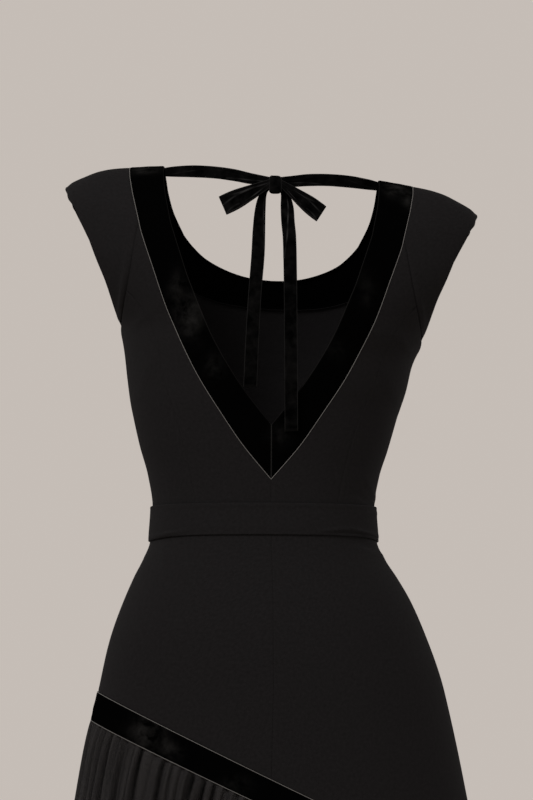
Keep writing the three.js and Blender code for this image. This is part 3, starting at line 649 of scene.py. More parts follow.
def mesh_of(name, grid, closed=False, outward=off_axis, marks=None):
    """An object from a grid of points, facing outward, with UVs in metres along the cloth.

    marks are named values for each point, from 0 to 1, that its material reads."""
    marks = marks or {}
    facing = np.cross(slopes_of(grid, 0, False), slopes_of(grid, 1, closed))
    if (normals_of(grid, closed, outward) * facing).sum() < 0:
        grid = grid[:, ::-1]
        marks = {mark: values[:, ::-1] for mark, values in marks.items()}
    i, j, faces = faces_of(*grid.shape[:2], closed)
    mesh = bpy.data.meshes.new(name)
    mesh.from_pydata((grid.reshape(-1, 3) * MM).tolist(), [], faces.reshape(-1, 4).tolist())
    ring = np.hstack([grid, grid[:, :1]]) if closed else grid
    uv = np.stack([along(ring, 1), along(ring, 0)], axis=-1) * MM
    corners = np.stack([uv[i, j], uv[i + 1, j], uv[i + 1, j + 1], uv[i, j + 1]], axis=-2)
    mesh.uv_layers.new(name="cloth").data.foreach_set("uv", corners.reshape(-1).tolist())
    mesh.polygons.foreach_set("use_smooth", [True] * len(mesh.polygons))
    for mark, values in marks.items():
        mesh.attributes.new(mark, "FLOAT", "POINT").data.foreach_set("value", values.reshape(-1).tolist())
    mesh.update()
    piece = bpy.data.objects.new(name, mesh)
    bpy.context.scene.collection.objects.link(piece)
    return piece


def solid_of(name):
    """The solid's name: the piece's without its cloth, or as in SOLID_NAMES."""
    for start, solid in SOLID_NAMES.items():
        if name.startswith(start):
            return name.replace(start, solid, 1)
    return name.split("_", 1)[1]


def finish_piece(piece, finish):
    piece.data.materials.append(MATERIALS[finish])
    node = solid_of(piece.name)
    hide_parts(node)
    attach(piece, "root")


def sheet(name, held, grid, rests_on=(), offset=-1, **options):
    """A piece of the cloth that its name starts with, of its thickness.

    offset -1 puts the thickness behind the points, and 0 puts it on both sides of them."""
    finish = name.split("_")[0]
    piece = mesh_of(name, grid, **options)
    solid = piece.modifiers.new("thickness", "SOLIDIFY")
    solid.thickness = THICKNESS[finish] * MM
    solid.offset = offset
    finish_piece(piece, finish)


def cloth(name, held, grid, lift=0.0, edges=None, lines=None, closed=False, creases=(), waves=0,
          outward=off_axis):
    """One cut piece: posed, dipped at its seams and creased.

    edges names the seams and how deep each dips, lines the edges that get a painted highlight, and
    waves is how high the pile's unevenness is."""
    edges = edges or {}
    upright = stand(grid)
    normals = normals_of(upright, closed, outward)
    out = lift + creased(upright, creases) - near_edges(upright, edges, SEAM_REACH)
    out = out + ripple(upright[..., 0], upright[..., 2], PILE_WAVES, waves, 0.4)
    worn = turn_in(upright + normals * out[..., None], normals, edges)
    # Marks for the material: painted highlight along the lines, and painted sheen in the pile's patches.
    marks = {
        "crest": with_margins(near_edges(upright, lines or {}, LINE_REACH), edges),
        "leans_back": with_margins(painted_sheen_patches(upright), edges),
    }
    sheet(name, held, worn, closed=closed, outward=outward, marks=marks)


def set_inputs(node, values):
    for name, value in values.items():
        node.inputs[name].default_value = value


def new_material(name, roughness, specular):
    """A material, its nodes and its shader."""
    material = bpy.data.materials.new(name)
    material.use_nodes = True
    tree = material.node_tree
    shader = tree.nodes["Principled BSDF"]
    set_inputs(shader, {"Roughness": roughness, "Specular IOR Level": specular})
    return material, tree, shader


def texture(tree, kind, space, inputs):
    """A texture in the cloth's UVs, or in the piece's own space."""
    made = tree.nodes.new(kind)
    set_inputs(made, inputs)
    where = tree.nodes.new("ShaderNodeTexCoord")
    tree.links.new(where.outputs[space], made.inputs["Vector"])
    return made


def noise(tree, space, **inputs):
    return texture(tree, "ShaderNodeTexNoise", space, inputs).outputs["Fac"]


def wave(tree, pitch, direction):
    """Waves across the cloth that repeat after one pitch, in metres."""
    made = texture(tree, "ShaderNodeTexWave", "UV", {"Scale": WAVE_LENGTH / pitch, "Distortion": 0.6})
    made.bands_direction = direction
    return made.outputs["Fac"]


def mark_of(tree, name):
    """A value that the mesh holds for each point."""
    made = tree.nodes.new("ShaderNodeAttribute")
    made.attribute_name = name
    return made.outputs["Fac"]


def product(tree, first, second):
    made = tree.nodes.new("ShaderNodeMath")
    made.operation = "MULTIPLY"
    tree.links.new(first, made.inputs[0])
    tree.links.new(second, made.inputs[1])
    return made.outputs[0]


def ramp(tree, factor, start, end):
    """A number that goes from 0 to 1 as factor goes from start to end."""
    made = tree.nodes.new("ShaderNodeMapRange")
    set_inputs(made, {"From Min": start, "From Max": end})
    tree.links.new(factor, made.inputs["Value"])
    return made.outputs["Result"]


def mixed(tree, factor, first, second):
    """A colour between two, each a constant or another node's colour.

    The node's inputs 6 and 7 and its output 2 are those for colours."""
    made = tree.nodes.new("ShaderNodeMix")
    made.data_type = "RGBA"
    for socket, colour in zip(made.inputs[6:8], (first, second)):
        if isinstance(colour, tuple):
            socket.default_value = (*colour, 1)
        else:
            tree.links.new(colour, socket)
    tree.links.new(factor, made.inputs[0])
    return made.outputs[2]


def bump(tree, height, strength, distance, onto=None):
    made = tree.nodes.new("ShaderNodeBump")
    set_inputs(made, {"Strength": strength, "Distance": distance})
    tree.links.new(height, made.inputs["Height"])
    if onto is not None:
        tree.links.new(onto, made.inputs["Normal"])
    return made.outputs["Normal"]


def cloth_material(name, roughness, pitch, weave):
    """A woven or knitted cloth: two crossed waves along its UVs, worn lighter in soft patches.

    pitch is in metres, and weave is how strong the waves are."""
    material, tree, shader = new_material(name, roughness, SPECULAR)
    grain = noise(tree, "UV", Scale=1 / (pitch * 4), Detail=3.0)
    patches = noise(tree, "Object", Scale=28.0, Detail=4.0, Roughness=0.6)
    tree.links.new(mixed(tree, ramp(tree, grain, 0.3, 0.75), *TONES[name]), shader.inputs["Base Color"])
    knit = bump(tree, product(tree, wave(tree, pitch, "X"), wave(tree, pitch, "Y")), weave, pitch * 0.12)
    fine = bump(tree, grain, 0.25, pitch * 0.2, knit)
    tree.links.new(bump(tree, patches, 0.15, 0.0012, fine), shader.inputs["Normal"])
    return material


def velvet_material(name, patch_scale):
    """Pile that leans this way and that: near black, with a few soft patches of painted sheen where it
    leans back.

    Both come from the mesh: one mark is 1 in a patch of painted sheen, the other is 1 where an edge
    or fold catches the light and gets a painted highlight."""
    darkest, lighter, painted_highlight_tone = TONES[name]
    material, tree, shader = new_material(name, 0.8, VELVET_SPECULAR)
    lean = noise(tree, "Object", Scale=patch_scale, Detail=5.0, Roughness=0.6, Distortion=0.3)
    nap = noise(tree, "Object", Scale=1400.0, Detail=2.0)
    # Painted sheen: lighter in the patches where the pile leans back.
    patches = product(tree, ramp(tree, lean, 0.36, 0.72), mark_of(tree, "leans_back"))
    pile = mixed(tree, patches, darkest, lighter)
    # Painted highlight where an edge or fold catches the light.
    tree.links.new(mixed(tree, mark_of(tree, "crest"), pile, painted_highlight_tone), shader.inputs["Base Color"])
    tree.links.new(bump(tree, nap, 0.3, 0.0003, bump(tree, lean, 0.4, 0.003)), shader.inputs["Normal"])
    return material


def chiffon_material():
    """Fine crisp crepe: see-through in a single layer, with painted shade where it is folded on itself in
    the creases' valleys.
    """
    material = cloth_material("chiffon", roughness=0.8, pitch=0.0006, weave=0.4)
    tree = material.node_tree
    shader = tree.nodes["Principled BSDF"]
    set_inputs(shader, {"Alpha": CHIFFON_ALPHA})
    single = shader.inputs["Base Color"].links[0].from_socket
    # Painted shade in the creases' valleys, also standing for the cloth folded on itself there.
    layered_shade = mixed(tree, mark_of(tree, "folded"), single, FOLDED_CHIFFON_SHADE)
    tree.links.new(layered_shade, shader.inputs["Base Color"])
    return material


MATERIALS = {
    "jersey": cloth_material("jersey", roughness=0.95, pitch=0.0008, weave=0.5),
    "velvet": velvet_material("velvet", patch_scale=70.0),
    "ribbon": velvet_material("ribbon", patch_scale=90.0),
    "chiffon": chiffon_material(),
    "piping": cloth_material("piping", roughness=0.6, pitch=0.0005, weave=0.4),
}


def side_angle(z):
    """Angle of the armhole seam above the underarm, and of the side seam below it."""
    armhole = angle_of(raglan_x(z), z)
    edge = angle_of(raglan_x(ARMHOLE_END), ARMHOLE_END)
    rising = edge + (90 - edge) * np.clip((ARMHOLE_END - z) / (ARMHOLE_END - UNDERARM), 0, 1)
    return np.where(z > ARMHOLE_END, armhole, rising)


def princess_angle(z, hand):
    """Angle of the princess seam, and of the raglan seam above it."""
    raglan = angle_of(raglan_x(z), z)
    return np.where(z > PRINCESS_TOP, raglan, angle_of(princess_x[hand](z), z))


def raglan_dip(z):
    """How deep the raglan seam sinks in, more so towards the underarm."""
    dip = np.interp(z, [UNDERARM - 5, ARMHOLE_END, -120, RAGLAN_TOP], [SIDE_SEAM, 1.6, 1.2, 0.4])
    return dip[:, None]


def princess_dip(z):
    """The princess seam is fine, but starts as deep as the raglan seam that it leaves."""
    deep = np.clip(1 - (PRINCESS_TOP - z[:, None]) / CORNER_REACH, 0, 1)
    return FINE_SEAM + (raglan_dip(z) - FINE_SEAM) * deep


def v_angle(z):
    """Angle of the V's outer edge, and of the centre back seam below it."""
    return np.where(z > V_POINT, angle_of(v_outer_x(np.maximum(z, V_POINT)), z), 0)


def levels(top, bottom, steps):
    return top + (bottom - top) * shares(abs(top - bottom), steps)


def strip(hand, z, start, end, steps):
    """Points of a panel of the left (hand -1) or right side, between two seams' angles."""
    width = np.linalg.norm(around(end, z) - around(start, z), axis=-1)
    places = np.array([shares(max(x, 1.0), steps) for x in width])
    return around(hand * (start[:, None] + (end - start)[:, None] * places), z[:, None])


def back_pieces():
    for side, hand in HANDS.items():
        z = levels(RAGLAN_TOP - SEAM_GAP, BODICE_END, steps=110)
        grid = strip(hand, z, v_angle(z), princess_angle(z, hand), steps=34)
        cloth(f"jersey_back_centre_{side}", "stretched", grid,
              edges={"left": FINE_SEAM, "right": princess_dip(z)}, creases=BODICE_CREASES)
        z = levels(PRINCESS_TOP - SEAM_GAP, BODICE_END, steps=100)
        grid = strip(hand, z, princess_angle(z, hand), side_angle(z), steps=34)
        cloth(f"jersey_back_side_{side}", "stretched", grid,
              edges={"left": princess_dip(z), "right": raglan_dip(z)}, creases=BODICE_CREASES)


def front_piece():
    """Its columns run down from the armholes and the neckline, and spread evenly at its lower edge."""
    underarm = np.linspace(UNDERARM, ARMHOLE_END, 5)
    raglan_z = np.hstack([underarm, np.linspace(ARMHOLE_END + 1, RAGLAN_TOP, 50)])
    raglan = np.stack([side_angle(raglan_z), raglan_z], axis=-1)
    t = np.linspace(NECK_LEAVES_RAGLAN, last_row(FRONT_NECK), 60)[1:]
    neck_x, neck_z = edge_of(FRONT_NECK, "outer", t)
    neck = np.stack([angle_of(neck_x, neck_z), neck_z], axis=-1)
    half = np.vstack([raglan, neck])
    top = np.vstack([half, half[:-1][::-1] * [-1, 1]])
    down = shares(NECKLINE - BODICE_END, 70)[:, None]
    even = np.linspace(90, -90, len(top))
    angle = top[:, 0] + EVEN_OUT * down * (even - top[:, 0])
    z = top[:, 1] + down * (BODICE_END - top[:, 1])
    cloth("jersey_front", "stretched", around(180 - angle, z),
          edges={"first": SIDE_SEAM, "left": SIDE_SEAM, "right": SIDE_SEAM}, creases=BODICE_CREASES)


def across(inner, outer, side, hand, places):
    """Points straight across between two edges, kept at their own drop below the shoulder line."""
    (x0, z0), (x1, z1) = inner, outer
    x = x0[:, None] + (x1 - x0)[:, None] * places
    drop0, drop1 = shoulder_top(x0) - z0, shoulder_top(x1) - z1
    drop = drop0[:, None] + (drop1 - drop0)[:, None] * places
    return on_cloth(hand * x, shoulder_top(x) - np.maximum(drop, 0), side)


def rows_to_ridge(table, steps):
    """Row numbers up to a table's last, closer together where the cloth rounds over."""
    return last_row(table) * (1 - (1 - np.linspace(0, 1, steps)) ** 2)


def edge_of(table, name, t, curve=free_ended):
    """x and z of the edge with that name at row numbers t of a table."""
    return [by_row(table, f"{name}_{axis}", curve)(t) for axis in "xz"]


def neck_bands():
    places = shares(34, 14)
    for side, hand in HANDS.items():
        z = levels(V_POINT + SEAM_GAP, RAGLAN_TOP, steps=110)[:-1]
        lower = across((v_inner_x(z), v_inner_z(z)), (v_outer_x(z), z), -1, hand, places)
        t = rows_to_ridge(BAND_TOP, 40)
        inner, outer = edge_of(BAND_TOP, "inner", t), edge_of(BAND_TOP, "outer", t, straight)
        upper = across(inner, outer, -1, hand, places)
        # Painted highlight along the V's mitre and faintly along the inner edge.
        cloth(f"velvet_band_{side}", "stretched", np.vstack([lower, upper]),
              lift=NECK_BAND_STANDS, waves=NECK_BAND_WAVES,
              edges={"first": FINE_SEAM, "left": BAND_SEAM, "right": BAND_SEAM},
              lines={"first": 0.4, "left": 0.12})
    t = last_row(FRONT_NECK) * np.linspace(0, 1, 90) ** 1.6
    edges = edge_of(FRONT_NECK, "inner", t), edge_of(FRONT_NECK, "outer", t)
    right, left = across(*edges, 1, 1, places), across(*edges, 1, -1, places)
    cloth("velvet_band_front", "stretched", np.vstack([right, left[:-1][::-1]]),
          lift=NECK_BAND_STANDS, waves=NECK_BAND_WAVES, edges={"left": BAND_SEAM, "right": BAND_SEAM})


def sleeve_rows(t, hand, side):
    """From the raglan seam or band out to the hem, then the turned-down lip."""
    inner, hem = edge_of(SLEEVE, "inner", t, straight), edge_of(SLEEVE, "hem", t)
    lip = by_row(SLEEVE, "lip", straight)(t)[:, None, None]
    points = across(inner, hem, side, hand, shares(60, 26))
    edge = points[:, -1:]
    outwards = unit(edge - points[:, -4:-3])
    down = unit(np.array([-LIP_TUCK * hand, 0, -1.0]))
    turned = np.minimum(lip / FULL_LIP, 1)
    away = unit(outwards + (down - outwards) * turned)
    steps = np.linspace(0.12, 1, 7)[None, :, None]
    bend = unit(outwards + (away - outwards) * np.minimum(steps * 2, 1))
    return np.hstack([points, edge + bend * lip * steps])


def sleeves():
    t = rows_to_ridge(SLEEVE, 90)
    for side, hand in HANDS.items():
        back, front = sleeve_rows(t, hand, -1), sleeve_rows(t, hand, 1)
        cloth(f"jersey_cap_sleeve_{side}", "stretched", np.vstack([back, front[:-1][::-1]]),
              edges={"left": RAGLAN_SEAM, "right": FINE_SEAM}, creases=SLEEVE_CREASES)


def waistband():
    """Folded over at its top and turned under at its bottom, which arches between its ends."""
    height = WAISTBAND_TOP - WAISTBAND_BOTTOM
    top = [(WAISTBAND_TOP - down, out) for down, out in TURNED_EDGE]
    face = [
        (WAISTBAND_TOP - height * share, FACE_ROUNDS_OUT * math.sin(math.pi * share))
        for share in np.linspace(0.1, 0.9, 22)
    ]
    bottom = [(WAISTBAND_BOTTOM + up, out) for up, out in reversed(TURNED_EDGE)]
    z, out = np.array(top + face + bottom).T[:, :, None]
    shows = (z < WAISTBAND_TOP - 1) & (z > WAISTBAND_BOTTOM + 0.4)
    arch = WAISTBAND_ARCH * (1 - np.abs(np.sin(np.radians(ROUND))) ** 6)
    z = z + arch * (WAISTBAND_TOP - z) / height
    grid = stand(around(ROUND, z))
    even = stand(around(ROUND, np.linspace(WAISTBAND_TOP, WAISTBAND_BOTTOM, len(z))[:, None]))
    above_edge = z - WAISTBAND_BOTTOM - arch
    lies_in = EDGE_LIES_IN * bell(above_edge, EDGE_LIES_IN_REACH)
    out = np.maximum(out - lies_in, TURNED_EDGE[0][1])
    stands = WAISTBAND_STANDS + out + creased(grid, WAISTBAND_CREASES) * shows
    worn = grid + normals_of(even, True, off_axis) * stands[..., None]
    sheet("jersey_waistband", "stretched", worn, closed=True)


def band_top_at(angle):
    """Height of the velvet band's top edge, where the tilted plane cuts the skirt."""
    z = np.full(np.shape(angle), float(BAND_LEVEL))
    for _ in range(8):
        z = BAND_LEVEL - BAND_SLOPE * around(angle, z)[..., 0]
    return z


def skirt():
    for part, start, end, steps in (
        ("skirt_back_left", -90, 0, 45),
        ("skirt_back_right", 0, 90, 45),
        ("skirt_front", 90, 270, 90),
    ):
        angles = start + (end - start) * shares(2.2 * (end - start), steps)
        places = shares(260, 90)[:, None]
        z = SKIRT_TOP + (band_top_at(angles) - SKIRT_TOP) * places
        cloth(f"jersey_{part}", "hung", around(angles[None, :], z),
              edges={"left": FINE_SEAM, "right": FINE_SEAM, "last": SIDE_SEAM}, creases=SKIRT_CREASES)
    places = shares(BAND_DROP, 12)[:, None]
    z = band_top_at(ROUND)[None, :] - BAND_DROP * places
    cloth("velvet_skirt_band", "hung", around(ROUND[None, :], z), lift=SKIRT_BAND_STANDS,
          waves=SKIRT_BAND_WAVES, edges={"first": BAND_SEAM, "last": BAND_SEAM}, closed=True)


def uneven(gather, cycles, offset):
    """A wave from -1 to 1 that goes through so many cycles over half of the flounce."""
    return np.sin(2 * np.pi * cycles * gather / (GATHERS / 2) + offset)


def even_angles(start, share):
    """Spreads places by length along the band, not by angle, over half the way around."""
    angles = np.linspace(start - 4, start + 184, 377)
    points = around(angles, band_top_at(angles))
    lengths = np.hstack([0, np.cumsum(np.linalg.norm(np.diff(points, axis=0), axis=-1))])
    first, last = np.interp([start, start + 180], angles, lengths)
    return np.interp(first + share * (last - first), lengths, angles)


def gathered_edge(angle):
    return around(angle, band_top_at(angle) - BAND_DROP - SEAM_GAP)


def small_creases(gather, place, down, settle):
    """How far they stand out, and how much painted shade their valleys get, where the cloth is folded on
    itself.
    """
    drift = 0.5 * uneven(gather, 5, 0.7) + 0.28 * uneven(gather, 14, 2.1)
    drift = drift + down / CREASES_DRIFT_OVER * uneven(gather, 10, 0.2)
    wave_out = np.abs(np.cos(np.pi * (CREASES_A_GATHER * place + drift)))
    fade = np.exp(-down / (CREASE_LENGTH + CREASE_LENGTH_VARIES * uneven(gather, 12, 0.3))) * settle
    fade = fade * (0.72 + 0.38 * uneven(gather, 9, 1.9))
    out = CREASE_DEPTH * (1.6 * wave_out ** 0.5 - 1) * (1 - np.exp(-down / CREASE_STARTS)) * fade
    # Painted shade in the creases' valleys, where the cloth is also folded on itself.
    folded = 1.5 * bell(wave_out, 0.5) * (1 - np.exp(-down / FOLD_STARTS)) * fade
    return out, np.minimum(folded, 1)


def flounce_points(start, steps, rows):
    """Points of half of the flounce, and how much painted shade each gets where the cloth is folded on
    itself in a crease's valley.
    """
    share = np.linspace(0, 1, steps)
    gather = share * GATHERS / 2
    angle = even_angles(start, share)
    top = gathered_edge(angle)
    run = unit(gathered_edge(angle + 0.5) - top)
    out = unit(run[:, [1, 0, 2]] * [1, -1, 0])
    down = FLOUNCE_DEPTH * np.linspace(0, 1, rows)[:, None] ** 1.3
    depth_gather = column(FLOUNCE_ROWS, "gather", free_ended)(down)
    depth_fold = column(FLOUNCE_ROWS, "fold", free_ended)(down)
    place = gather + 0.2 * uneven(gather, 7, 0) + 0.12 * uneven(gather, 11, 0)
    fine = depth_gather * (1 + 0.3 * uneven(gather, 13, 1)) * np.cos(2 * np.pi * place)
    broad = depth_fold * (1 + 0.25 * uneven(gather, 5, 2)) * np.cos(np.pi * place)
    settle = np.sin(np.pi * share) ** 0.2
    pucker = np.cos(4.3 * np.pi * place + 1.3 * uneven(gather, 9, 1))
    pucker = pucker * PUCKER[0] * np.exp(-down / PUCKER[1]) * settle
    crimp = np.sin(6.7 * np.pi * place + down / 30) * CRIMP[0] * np.exp(-down / CRIMP[1]) * settle
    creases, folded = small_creases(gather, place, down, settle)
    stands = FLARE * down - fine - broad - FLOUNCE_LIES_IN + pucker + crimp + creases
    lean = LEAN * (1 - np.exp(-down / LEAN_REACH)) * run[:, 0]
    points = top + out * stands[..., None] - run * lean[..., None]
    points[..., 2] = top[:, 2] - down
    return points, folded


def flounces():
    for side, start in (("back", -90), ("front", 90)):
        points, folded = flounce_points(start, steps=640, rows=44)
        # The folded mark carries the painted shade in the creases' valleys.
        sheet(f"chiffon_flounce_{side}", "gathered", stand(points), rests_on=["velvet_skirt_band"],
              marks={"folded": folded})


def in_brief(angle, z):
    """Points of the brief: inside the skirt, then drawn in under the body."""
    ease = BRIEF_LIES_IN + BRIEF_EASE * np.clip((BRIEF_TOP - z) / EASE_REACH, 0, 1)
    fall = np.clip((UNDER_START - z) / (UNDER_START - CROTCH), 0, 1)
    under = np.sqrt(1 - fall * fall)
    skin = around(angle, z)
    share = 1 - ease / np.hypot(skin[..., 0], skin[..., 1])
    return np.stack([skin[..., 0] * share, skin[..., 1] * share * under, skin[..., 2]], axis=-1)


def brief():
    seams = {"left": SIDE_SEAM, "right": SIDE_SEAM, "last": SIDE_SEAM}
    for side, centre, table in (("back", 0, LEG_BACK), ("front", 180, LEG_FRONT)):
        leg = column(table, "z")
        angles = -90 + 180 * shares(300, 70)
        edge = np.where(np.abs(angles) <= GUSSET_ANGLE, GUSSET_SEAM, leg(np.abs(angles)))
        z = BRIEF_TOP + (edge - BRIEF_TOP) * shares(150, 40)[:, None]
        grid = in_brief(centre + angles[None, :], z)
        cloth(f"jersey_brief_{side}", "stretched", grid, edges=seams)
    share = np.linspace(GUSSET_EASE, 1 - GUSSET_EASE, 40)[:, None]
    angles = np.linspace(-GUSSET_ANGLE, GUSSET_ANGLE, 16)
    level = np.full(len(angles), float(GUSSET_SEAM))
    back, front = in_brief(angles, level), in_brief(180 - angles, level)
    grid = back + (front - back) * share[..., None]
    grid[..., 2] -= (GUSSET_SEAM - CROTCH) * np.sin(np.pi * share)
    cloth("jersey_brief_gusset", "stretched", grid,
          outward=lambda points: points * 0 + np.array([0, 0, -1.0]))


def ribbon_line(stations):
    """Centres, directions across, faces and widths at close steps along the stations."""
    centres, acrosses, widths = [np.array(values, float) for values in zip(*stations)]
    last = len(stations) - 1
    fine = np.linspace(0, last, 16 * last + 1)

    def smooth(values):
        return free_ended(range(last + 1), values)(fine)

    centre = np.stack([smooth(centres[:, k]) for k in range(3)], axis=-1)
    side = unit(np.stack([smooth(acrosses[:, k]) for k in range(3)], axis=-1))
    face = unit(np.cross(unit(np.gradient(centre, axis=0)), side))
    return centre, side, face, smooth(widths)[:, None]


def ribbon_folds(places, run, folds):
    """How far the folds stand out at each point, and how much painted highlight they get."""
    share = run / run[-1]
    out = crest = 0 * run * places
    for start, end, share_from, share_to, height, light, bow in folds:
        part = np.clip((share - share_from) / (share_to - share_from), 0, 1)
        fade = np.sin(np.pi * np.clip(part, 0.08, 0.92)) ** 0.6 * (part > 0) * (part < 1)
        off = places - start - (end - start) * part - bow * np.sin(np.pi * part)
        out = out + fade * height * bell(off, 0.07)
        glint = light * (0.6 + 0.4 * np.sin(run / 3.1 + 9 * start))
        crest = crest + fade * glint * bell(off, 0.035)
    return out, crest


def ribbon(name, held, stations, folds, edge_highlight=0.15):
    """A length of velvet ribbon along stations, creased by folds that run along it."""
    centre, side, face, width = ribbon_line(stations)
    places = np.hstack([[-0.5, -0.475], np.linspace(-0.44, 0.44, 33), [0.475, 0.5]])
    grid = centre[:, None] + side[:, None] * (width * places)[..., None]
    run = along(grid[:, len(places) // 2][:, None], 0)
    out, crest = ribbon_folds(places, run, folds)
    out = out + ripple(places * 14, run, (19, 34, 11), 0.22, 0.3 * len(stations))
    # Painted highlight along both edges and across the end, and painted sheen all over.
    crest = crest + edge_highlight * (np.abs(places) > 0.46)
    crest = crest + 0.5 * edge_highlight * bell(run[-1] - run, 0.5)
    marks = {"crest": np.minimum(crest, 1), "leans_back": np.full(crest.shape, RIBBON_PAINTED_SHEEN)}
    worn = grid + face[:, None] * out[..., None]
    sheet(name, held, worn, rests_on=["ribbon_knot"], offset=0, marks=marks)


def strap_stations(hand):
    ease = LEFT_STRAP_EASE if hand < 0 else 0
    upwards = unit(np.array([0, -0.15, 1.0]))
    stations = [
        (stand(np.array([hand * (x - ease), y, z], float)), upwards, width)
        for x, y, z, width in STRAP[1:]
    ]
    end = KNOT_CENTRE + np.array([hand * (KNOT_SIZE[0] / 2 - 1.5), 0, 3.5])
    return stations + [(end, upwards, 9)]


def tail_stations(side, hand):
    """Out from behind the knot, then down over the back."""
    stations = []
    for i, (x, z, width) in enumerate(TAILS[side]):
        near = max(0, 1 - i / TAIL_TURNS_AT)
        y = stand(on_cloth(x, z, -1))[1] - TAIL_STANDS
        y = y + (BEHIND_KNOT - y) * near
        stations.append((np.array([x, y, z]), unit(np.array([1, hand * -0.1, 0.05])), width))
    return stations


def tie():
    knot()
    for side, hand in HANDS.items():
        ribbon(f"ribbon_strap_{side}", "stretched", strap_stations(hand), STRAP_FOLDS)
    for side, loop in LOOPS.items():
        ribbon(f"ribbon_loop_{side}", "folded", loop_stations(**loop), LOOP_FOLDS, edge_highlight=0.2)
    for side, hand in HANDS.items():
        ribbon(f"ribbon_tail_{side}", "hung", tail_stations(side, hand), TAIL_FOLDS[side])


def loop_stations(hand, end, across, width):
    """Out from the knot, over at the end and back in front of itself."""
    tip = np.array(end, float)
    knot_side = KNOT_CENTRE[0] + hand * (KNOT_SIZE[0] / 2 - 1)
    root = np.array([knot_side, LOOP_START["y"], LOOP_START["z"]])
    stations = []
    back = [(share, -behind, part) for share, behind, part in LOOP_OUT[-2::-1]]
    for share, behind, part in LOOP_OUT + back:
        centre = root + (tip - root) * share - np.array([0, behind, 0])
        lean = min(share * 2, 1)
        tilt = np.array([0, 0, 1.0]) * (1 - lean) + np.array(across) * lean
        stations.append((centre, unit(tilt), part * width))
    return stations


def knot():
    """The ribbon's turn around the bow, with the folds that the pull leaves in it."""
    u = np.linspace(0, math.pi, 48)[:, None]
    v = np.arange(0, 2 * math.pi, math.pi / 60)
    x, y, z = np.sin(u) * np.cos(v), np.sin(u) * np.sin(v), np.cos(u) + 0 * v

    def soften(value):
        return np.sign(value) * np.abs(value) ** KNOT_SOFTNESS

    grooves = sum(depth * bell(x - at, reach) for at, reach, depth in KNOT_GROOVES)
    peak = 1 + 0.07 * bell(x + 0.45, 0.25) * (z > 0)
    points = np.stack([soften(x), soften(y) * (1 - grooves), soften(z) * peak], axis=-1)
    # Painted highlight along the knot's two sides, and painted sheen all over.
    crest = 0.45 * bell(np.abs(x) - 0.74, 0.05) * (np.abs(z) < 0.8)
    marks = {"crest": crest, "leans_back": np.full(crest.shape, RIBBON_PAINTED_SHEEN)}
    piece = mesh_of("ribbon_knot", points * KNOT_SIZE / 2 + KNOT_CENTRE, closed=True,
                    outward=lambda grid: grid - KNOT_CENTRE, marks=marks)
    finish_piece(piece, "ribbon")


def cord_along(name, points, closed):
    """A fine cord along points, in one seam, light grey as a painted highlight."""
    turns = np.arange(CORD_SIDES) * 2 * math.pi / CORD_SIDES
    run = unit(slopes_of(points, 0, closed))
    level = off_axis(points)
    out = unit(level - (level * run).sum(-1, keepdims=True) * run)
    side = np.cross(run, out)
    ring = points[:, None] + HIGHLIGHT_CORD_RADIUS * (
        out[:, None] * np.cos(turns)[:, None] + side[:, None] * np.sin(turns)[:, None]
    )
    if closed:
        ring = np.vstack([ring, ring[:1]])
    piece = mesh_of(name, ring, True, outward=lambda grid: grid - ring.mean(axis=1, keepdims=True))
    # Light grey: a painted highlight along the seam.
    piece.data.materials.append(MATERIALS["piping"])
    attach(piece, "root")


def half_v_edge(hand):
    """The band's outer edge from the V's point up to the shoulder's ridge."""
    z = np.linspace(V_POINT, RAGLAN_TOP, 300)
    lower = on_cloth(hand * v_outer_x(z), z, -1)
    x, z = edge_of(BAND_TOP, "outer", rows_to_ridge(BAND_TOP, 60)[1:], straight)
    return np.vstack([lower, on_cloth(hand * x, z, -1)])


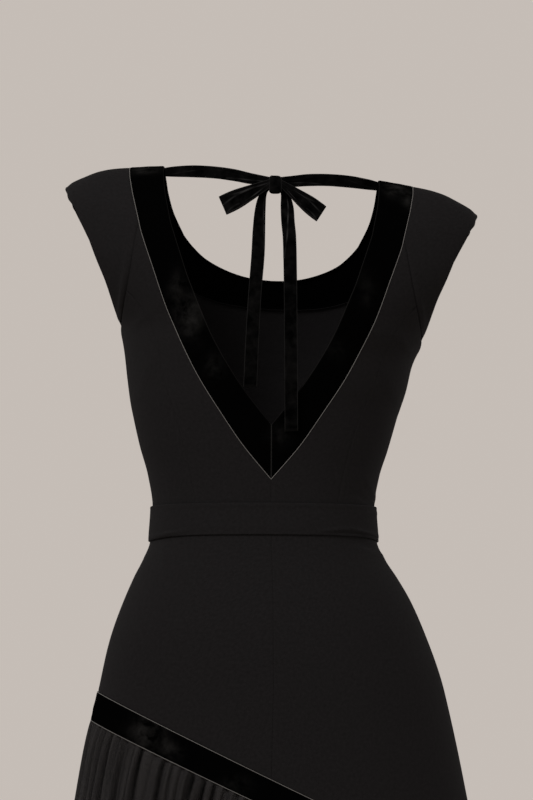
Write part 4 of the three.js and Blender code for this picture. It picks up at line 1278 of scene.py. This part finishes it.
# Light grey cords along the velvet bands' seams, as painted highlights.
def piping():
    path = stand(np.vstack([half_v_edge(-1)[::-1], half_v_edge(1)[1:]]))
    cord_along("piping_v", path + unit(off_axis(path)) * HIGHLIGHT_CORD_STANDS_AT_V, closed=False)
    for name, drop in (("piping_skirt_top", 0), ("piping_skirt_bottom", BAND_DROP)):
        path = stand(around(ROUND, band_top_at(ROUND) - drop))
        cord_along(name, path + unit(off_axis(path)) * HIGHLIGHT_CORD_STANDS_AT_SKIRT, closed=True)


def build():
    back_pieces()
    front_piece()
    neck_bands()
    sleeves()
    waistband()
    skirt()
    flounces()
    brief()
    tie()
    piping()


def look_at(thing, target):
    away = np.array(thing.location) - np.array(target)
    thing.rotation_euler = (
        math.atan2(math.hypot(away[0], away[1]), away[2]), 0, math.atan2(away[1], away[0]) + math.pi / 2
    )


def area_light(name, place, size, watts):
    light = bpy.data.lights.new(name, "AREA")
    light.size, light.energy = size, watts
    lamp = bpy.data.objects.new(name, light)
    lamp.location = place
    look_at(lamp, LIGHTS_POINT_AT)
    bpy.context.scene.collection.objects.link(lamp)


def studio():
    scene = bpy.context.scene
    camera = bpy.data.objects.new("camera", bpy.data.cameras.new("camera"))
    camera.location = CAMERA
    distance = math.dist(CAMERA, CAMERA_LOOKS_AT)
    camera.data.lens = camera.data.sensor_width * distance / VIEW_HEIGHT
    look_at(camera, CAMERA_LOOKS_AT)
    scene.collection.objects.link(camera)
    scene.camera = camera
    for light in LIGHTS:
        area_light(*light)
    world = bpy.data.worlds.new("studio")
    world.use_nodes = True
    set_inputs(world.node_tree.nodes["Background"], {"Color": BACKDROP, "Strength": 1.0})
    scene.world = world
    scene.view_settings.view_transform = "Standard"
    floor()


def floor():
    turns = np.radians(np.linspace(0, 360, 64, endpoint=False))
    corners = np.stack([FLOOR_RADIUS * np.cos(turns), FLOOR_RADIUS * np.sin(turns), 0 * turns + FLOOR], -1)
    mesh = bpy.data.meshes.new("floor")
    mesh.from_pydata(corners.tolist(), [], [range(64)])
    plane = bpy.data.objects.new("floor", mesh)
    bpy.context.scene.collection.objects.link(plane)
    material, tree, shader = new_material("floor", roughness=0.9, specular=0.5)
    grain = noise(tree, "Generated", Scale=3.0, Detail=3.0)
    tree.links.new(mixed(tree, grain, *TONES["floor"]), shader.inputs["Base Color"])
    mesh.materials.append(material)


build()
studio()
